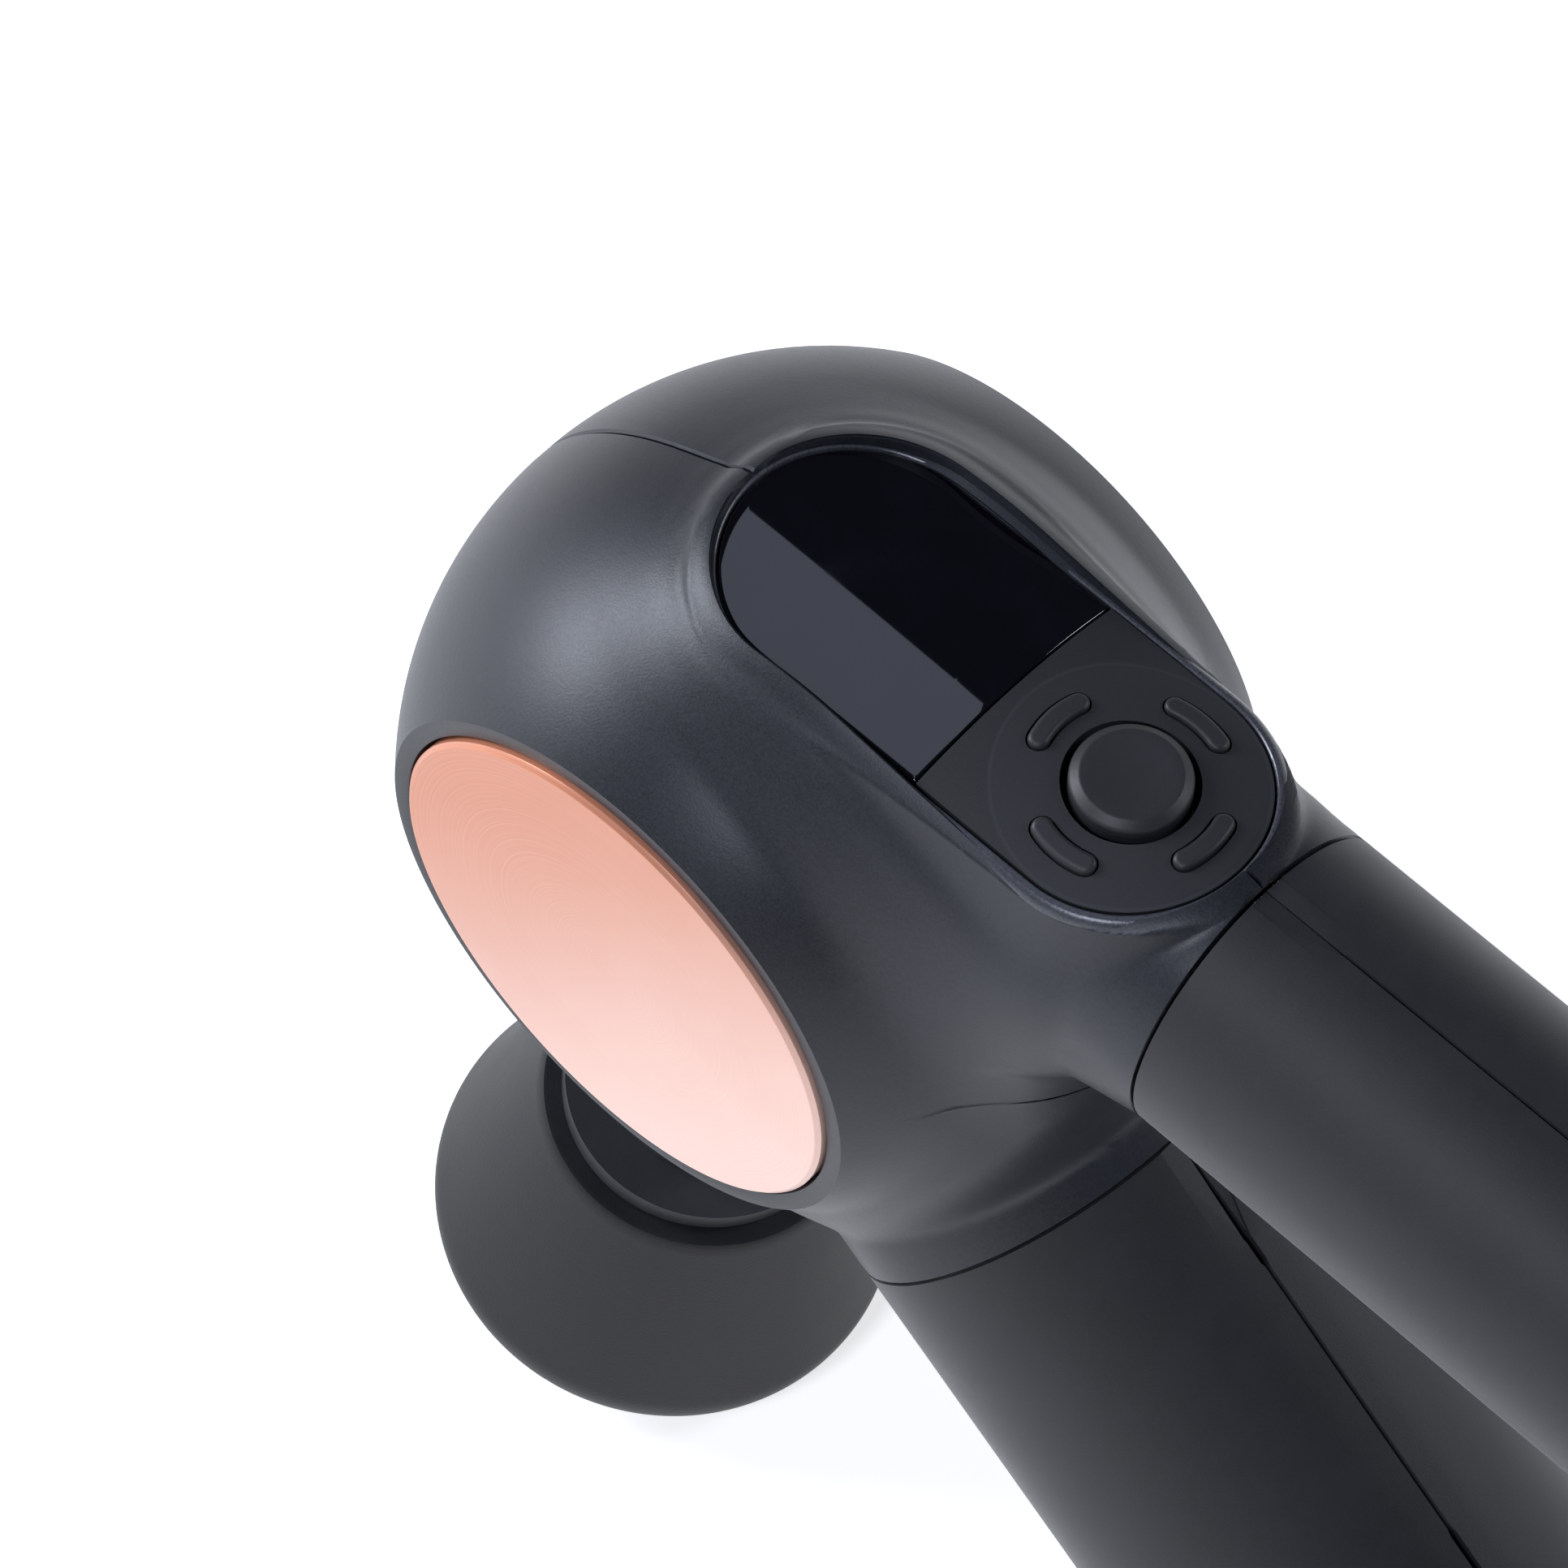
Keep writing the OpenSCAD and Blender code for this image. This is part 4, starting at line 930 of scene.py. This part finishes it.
def lower_half(sizes, side):
    """Grid of one half of the lower grip: lower arm, round corner and the rear arm's root."""
    low = sizes.seam / 2
    start = LOWER_SEAM + RING_GAP
    rear = np.array([REAR[0], 0.0, REAR[1]])
    stop = REAR_SEAM - RING_GAP
    inward = -LOWER_OUT
    base = bearing(inward[0], inward[2])
    rear_angle = bearing(*REAR)
    between = math.radians(base + 90 - rear_angle)
    crotch = (LOWER_R + UPPER_R * math.cos(between)) / math.sin(between)
    saddle = bearing(crotch, UPPER_R) + rear_angle
    s = np.linspace(start + 14 * MM, CORNER_S, 120)
    lean = math.tan(math.radians(saddle - base)) * (s - s[0]) / (s[-1] - s[0])
    core = lower_point(s, 0.0)
    ray = inward - lean[:, None] * LOWER
    ray /= np.linalg.norm(ray, axis=-1, keepdims=True)

    def limited(p):
        """The lower field, cut off at the seam to the rear arm."""
        return np.maximum(lower_field(p), (p - CORNER) @ rear - stop)

    def cast(field, centres, rays):
        """Where rays leave a field."""
        r = root(lambda r: field(centres + r[:, None] * rays), np.full(len(rays), 10 * MM),
                 np.full(len(rays), 70 * MM))
        return centres + r[:, None] * rays

    top = cast(lower_field, core, ray)
    half_end = bearing(stop, UPPER_R)
    fans = []
    end_centre = (CORNER + rear * stop)[[0, 2]]
    end_points, end_y = end_fan(end_centre, -REAR_OUT, UPPER_R, low)
    end_points, end_y = end_points[::-1], end_y[::-1]
    for a, b, count in ((saddle, rear_angle + half_end, 6), (rear_angle - half_end, base - 180, 90)):
        turn = np.radians(np.linspace(a, b, count + 2)[1:-1])
        rays = points(np.cos(turn), np.zeros_like(turn), np.sin(turn))
        fans.append(cast(limited, np.repeat(CORNER[None], count, 0), rays)[:, [0, 2]])
    under = (core - inward * LOWER_R)[::-1]
    first, first_y = end_fan(lower_point(start, 0.0)[[0, 2]], inward[[0, 2]], LOWER_R, low, 44)
    pieces = [top[:, [0, 2]], fans[0], end_points, fans[1], under[:, [0, 2]], first]
    flat_core = core[:, [0, 2]]
    corner = CORNER[[0, 2]][None]
    cores = [flat_core, corner.repeat(len(fans[0]), 0), corner.repeat(len(end_points), 0),
             corner.repeat(len(fans[1]), 0), flat_core[::-1], flat_core[:1].repeat(len(first), 0)]
    slots = np.full(len(s), low)
    first_slot, slot_pitch, half_slot = 14.2 * MM, 43.2 * MM, 2.9 * MM
    reach = top @ LOWER
    for k in range(3):
        away = np.abs(reach - (start + first_slot + k * slot_pitch))
        slots = np.where(away < half_slot, sizes.slot / 2, slots)
    lows = [slots, np.full(len(fans[0]), low), end_y, np.full(len(fans[1]), low), np.full(len(s), low),
            first_y]
    seam_inset = 0.002 * MM
    insets = [np.full(len(p), END_INSET if p is end_points or p is first else seam_inset)
              for p in pieces]
    return half_casing(np.concatenate(cores), np.concatenate(pieces), np.concatenate(lows),
                       np.concatenate(insets), lower_field, sizes, no_rows, side, 30)


class MASSAGER_OT_grips(bpy.types.Operator):
    """Build the silicone grips of the upper, rear and lower arms"""

    bl_idname = "massager.grips"
    bl_label = "Grips"

    def execute(self, context):
        sizes = context.scene.massager_sizes
        for name, side in (("left", -1), ("right", 1)):
            upper = solid(f"upper_grip_skin_{name}", upper_half(sizes, side))
            finish_piece(upper, "soft_grip", "housing", f"upper_grip_{name}")
            lower = solid(f"lower_grip_skin_{name}", lower_half(sizes, side))
            finish_piece(lower, "soft_grip", "housing", f"lower_grip_{name}")
        return {"FINISHED"}


class MASSAGER_OT_covers(bpy.types.Operator):
    """Build the two rose-gold side covers with their bright bevels"""

    bl_idname = "massager.covers"
    bl_label = "Side covers"

    def execute(self, context):
        sizes = context.scene.massager_sizes
        b = sizes.bevel
        edge = 0.12 * MM
        back = COVER_BACK + 0.05 * MM
        profile = np.concatenate([
            [(0.0, back), (COVER_R - 0.1 * MM, back), (COVER_R, back + 0.1 * MM), (COVER_R, FLAT_Y - b)],
            arc((COVER_R - edge, FLAT_Y - b), edge, 0, 45, 4),
            arc((COVER_R - b, FLAT_Y - edge), edge, 45, 90, 4),
            [(COVER_R - b - 0.3 * MM, FLAT_Y), (COVER_R * 0.66, FLAT_Y), (COVER_R * 0.33, FLAT_Y),
             (0.0, FLAT_Y)]])
        for name, side in (("left", -1), ("right", 1)):
            disc = turned(profile, np.zeros(3), (0.0, float(side), 0.0), 256)
            piece = solid(f"cover_disc_{name}", disc, smooth=20.0)
            finish_piece(piece, "rose_metal", "housing", f"side_cover_{name}")
        return {"FINISHED"}


# ---- Deck ----


def lens_outline():
    """Columns of the screen: a straight rear edge, two long edges and a round front, over a slit."""
    rear = LENS_HIGH[0]
    r = DECK_R
    x = np.linspace(rear, DECK_FRONT, 60)[:-1]
    a = np.linspace(math.pi / 2, 1.5 * math.pi, 90)
    side_1 = points(x, np.full(len(x), r))
    front = points(DECK_FRONT + r * np.cos(a), r * np.sin(a))
    side_2 = side_1[::-1] * np.array([1, -1])
    y = np.linspace(-r, r, 42)[1:-1]
    edge = points(np.full(len(y), rear), y)
    core_x = np.linspace(rear - 6 * MM, DECK_FRONT, 60)[:-1]
    line = points(core_x, np.zeros(len(core_x)))
    core = np.concatenate([line, np.repeat([[DECK_FRONT, 0.0]], len(a), 0), line[::-1],
                           np.repeat(line[:1], len(y), 0)])
    return core, np.concatenate([side_1, front, side_2, edge])


def bean_outline(angle, spread=16.56, radius=10.35 * MM, half=1.15 * MM):
    """Columns of a small button: both sides of an arc around the pad's centre and its round ends."""
    t = np.radians(np.linspace(-spread, spread, 25)) + angle
    a = np.linspace(-math.pi / 2, math.pi / 2, 15)[1:-1]
    unit = points(np.cos(t), np.sin(t))
    core_1 = unit * radius

    def cap(k, sign):
        """Half circle around the arc's end k."""
        turn = t[k] + sign * (a + math.pi / 2)
        return unit[k] * radius + half * points(np.cos(turn), np.sin(turn))

    rim = np.concatenate([unit * (radius + half), cap(-1, 1), (unit * (radius - half))[::-1],
                          cap(0, -1)[::-1]])
    core = np.concatenate([core_1, np.repeat(core_1[-1:], len(a), 0), core_1[::-1],
                           np.repeat(core_1[:1], len(a), 0)])
    centre = PAD_MIDDLE[:2]
    return core + centre, rim + centre


class MASSAGER_OT_deck(bpy.types.Operator):
    """Build the screen glass, the centre button and the four arc-shaped buttons"""

    bl_idname = "massager.deck"
    bl_label = "Screen and buttons"

    def execute(self, context):
        core, rim = lens_outline()
        lens = plate(core, rim, deck_height, LENS_LOW[2] - 0.2 * MM, 0.3 * MM)
        finish_piece(solid("screen_pane", lens), "screen_glass", "housing", "display_lens")
        for name, angle in (("rear", 0), ("right", 90), ("front", 180), ("left", 270)):
            core, rim = bean_outline(math.radians(angle))
            low = node_size(f"{name}_button")[0][2]
            grid = plate(core, rim, lambda x, y: deck_height(x, y) + 0.62 * MM, low, 0.55 * MM, 6)
            finish_piece(solid(f"{name}_key", grid), "pad", f"{name}_button_body", f"{name}_button")
        top = BUTTON_HIGH[2]
        r = 6.4 * MM
        profile = np.concatenate([
            [(0.0, BUTTON_LOW[2]), (r, BUTTON_LOW[2]), (r, top - 1.25 * MM)],
            arc((r - 0.7 * MM, top - 1.1 * MM), 0.7 * MM, 0, 50, 6),
            arc((r - 1.25 * MM, top - 0.5 * MM), 0.5 * MM, 50, 90, 6),
            [(r - 2.2 * MM, top - 0.06 * MM), (r - 3.6 * MM, top - 0.2 * MM),
             (r - 5.2 * MM, top - 0.27 * MM), (0.0, top - 0.3 * MM)]])
        centre = np.array([PAD_MIDDLE[0], 0.0, 0.0])
        button = solid("centre_key", turned(profile, centre, (0.0, 0.0, 1.0), 120))
        finish_piece(button, "pad", "centre_button_body", "centre_button")
        return {"FINISHED"}


class MASSAGER_OT_cushion(bpy.types.Operator):
    """Build the flared cushion of the attachment"""

    bl_idname = "massager.cushion"
    bl_label = "Cushion"

    def execute(self, context):
        start = CUSHION_END - 40.0 * MM
        foot = 19.2 * MM
        turn_r, turn_t, round_r = 20.1 * MM, CUSHION_END - 7.5 * MM, 7.5 * MM
        away = np.array([turn_r - foot, turn_t - start])
        flare = math.atan2(away[0], away[1]) + math.asin(round_r / np.linalg.norm(away))
        side = arc((turn_r, turn_t), round_r, -math.degrees(flare), 90, 26)
        along = np.linspace(0, 1, 26)[1:-1, None]
        foot_points = np.array([(10 * MM, start), (foot - 0.9 * MM, start),
                                (foot - 0.4 * MM, start + 0.1 * MM), (foot - 0.08 * MM, start + 0.5 * MM)])
        wall = np.array([foot, start + 0.9 * MM]) * (1 - along) + side[0] * along
        face = np.array([(turn_r * 0.7, CUSHION_END), (turn_r * 0.35, CUSHION_END), (0.0, CUSHION_END),
                         (0.0, CUSHION_END - 14 * MM), (10 * MM, CUSHION_END - 14 * MM)])
        profile = np.concatenate([foot_points, wall, side, face])
        piece = solid("cushion_skin", turned(profile, np.zeros(3), DRIVE, 200), True)
        finish_piece(piece, "cushion_rubber", "attachment", "attachment_cushion")
        return {"FINISHED"}


# ---- Stage ----

# Soft panels of the studio: name, place, width in metres, watts and tint.
PANELS = (
    ("glass_panel", (-0.44, 0.055, 1.15), 0.55, 0.75, (0.72, 0.78, 1.0)),
    ("left_panel", (-1.1, -0.45, 0.55), 0.45, 12.0, (0.88, 0.92, 1.0)),
    ("key_panel", (0.10, -0.90, 1.15), 0.30, 7.5, (0.84, 0.88, 1.0)),
    ("rear_panel", (0.75, 1.05, 0.85), 0.45, 6.0, (0.90, 0.93, 1.0)),
)
CAMERA_PLACE = Vector((0.3125, -0.3643, 0.8036))  # from the head's centre
CAMERA_RIGHT = Vector((0.7226, 0.6907, 0.0265))
CAMERA_BACK = Vector((0.3371, -0.3854, 0.8590))


class MASSAGER_OT_stage(bpy.types.Operator):
    """Build the floor, the lights and the camera"""

    bl_idname = "massager.stage"
    bl_label = "Stage"

    def light_studio(self, scene):
        """Surround that is white at the horizon and dark overhead, and the soft panels."""
        scene.view_settings.view_transform = "Standard"
        scene.world = bpy.data.worlds.new("studio")
        scene.world.use_nodes = True
        nodes, links = scene.world.node_tree.nodes, scene.world.node_tree.links
        where = nodes.new("ShaderNodeTexCoord")
        split = nodes.new("ShaderNodeSeparateXYZ")
        ramp = nodes.new("ShaderNodeValToRGB")
        ramp.color_ramp.elements[0].position = 0.04
        ramp.color_ramp.elements[0].color = (0.97, 0.98, 1.0, 1.0)
        ramp.color_ramp.elements[1].position = 0.26
        ramp.color_ramp.elements[1].color = (0.022, 0.024, 0.032, 1.0)
        links.new(where.outputs["Generated"], split.inputs[0])
        links.new(split.outputs["Z"], ramp.inputs[0])
        links.new(ramp.outputs[0], nodes["Background"].inputs["Color"])
        for name, place, size, power, colour in PANELS:
            light = bpy.data.lights.new(name, "AREA")
            light.size = size
            light.energy = power
            light.color = colour
            lamp = bpy.data.objects.new(name, light)
            lamp.location = place
            lamp.rotation_euler = (Vector(HEAD) - Vector(place)).to_track_quat("-Z", "Y").to_euler()
            scene.collection.objects.link(lamp)

    def execute(self, context):
        floor_mesh = bpy.data.meshes.new("floor")
        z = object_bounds()[0][2] - 0.4 * MM
        floor_mesh.from_pydata([(-4, -4, z), (4, -4, z), (4, 4, z), (-4, 4, z)], [], [(0, 1, 2, 3)])
        floor = bpy.data.objects.new("floor", floor_mesh)
        context.scene.collection.objects.link(floor)
        g = Graph("floor_paint")
        g.set(Base_Color=g.mix(g.noise(0.05), (0.88, 0.88, 0.885), (0.90, 0.90, 0.90)), Roughness=0.9,
              Emission_Color=(1.0, 1.0, 1.0, 1.0), Emission_Strength=0.62)
        floor_mesh.materials.append(g.material)
        floor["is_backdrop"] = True
        self.light_studio(context.scene)
        camera = bpy.data.objects.new("camera", bpy.data.cameras.new("camera"))
        camera.data.sensor_width = 36.0
        camera.data.lens = 202.16
        right = CAMERA_RIGHT.normalized()
        back = CAMERA_BACK.normalized()
        up = back.cross(right).normalized()
        right = up.cross(back)
        turn = Matrix((right, up, back)).transposed().to_4x4()
        camera.matrix_world = Matrix.Translation(Vector(HEAD) + CAMERA_PLACE) @ turn
        context.scene.collection.objects.link(camera)
        context.scene.camera = camera
        return {"FINISHED"}


OPERATORS = (MASSAGER_OT_finishes, MASSAGER_OT_head, MASSAGER_OT_grips, MASSAGER_OT_covers,
             MASSAGER_OT_deck, MASSAGER_OT_cushion, MASSAGER_OT_stage)


class MASSAGER_PT_panel(bpy.types.Panel):
    """Lists the steps that build the massager"""

    bl_idname = "MASSAGER_PT_panel"
    bl_label = "Massager"
    bl_space_type = "VIEW_3D"
    bl_region_type = "UI"
    bl_category = "Massager"

    def draw(self, context):
        for step in OPERATORS:
            self.layout.operator(step.bl_idname)


CLASSES = (MassagerSizes, MassagerColours, *OPERATORS, MASSAGER_PT_panel)


def register():
    """Registers the classes and their settings."""
    for cls in CLASSES:
        bpy.utils.register_class(cls)
    bpy.types.Scene.massager_sizes = PointerProperty(type=MassagerSizes)
    bpy.types.Scene.massager_colours = PointerProperty(type=MassagerColours)


def unregister():
    """Takes the classes and their settings away again."""
    del bpy.types.Scene.massager_colours
    del bpy.types.Scene.massager_sizes
    for cls in reversed(CLASSES):
        bpy.utils.unregister_class(cls)


def main():
    """Builds everything in order."""
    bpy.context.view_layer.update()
    register()
    for step in OPERATORS:
        group, name = step.bl_idname.split(".")
        getattr(getattr(bpy.ops, group), name)()


if __name__ == "__main__":
    main()
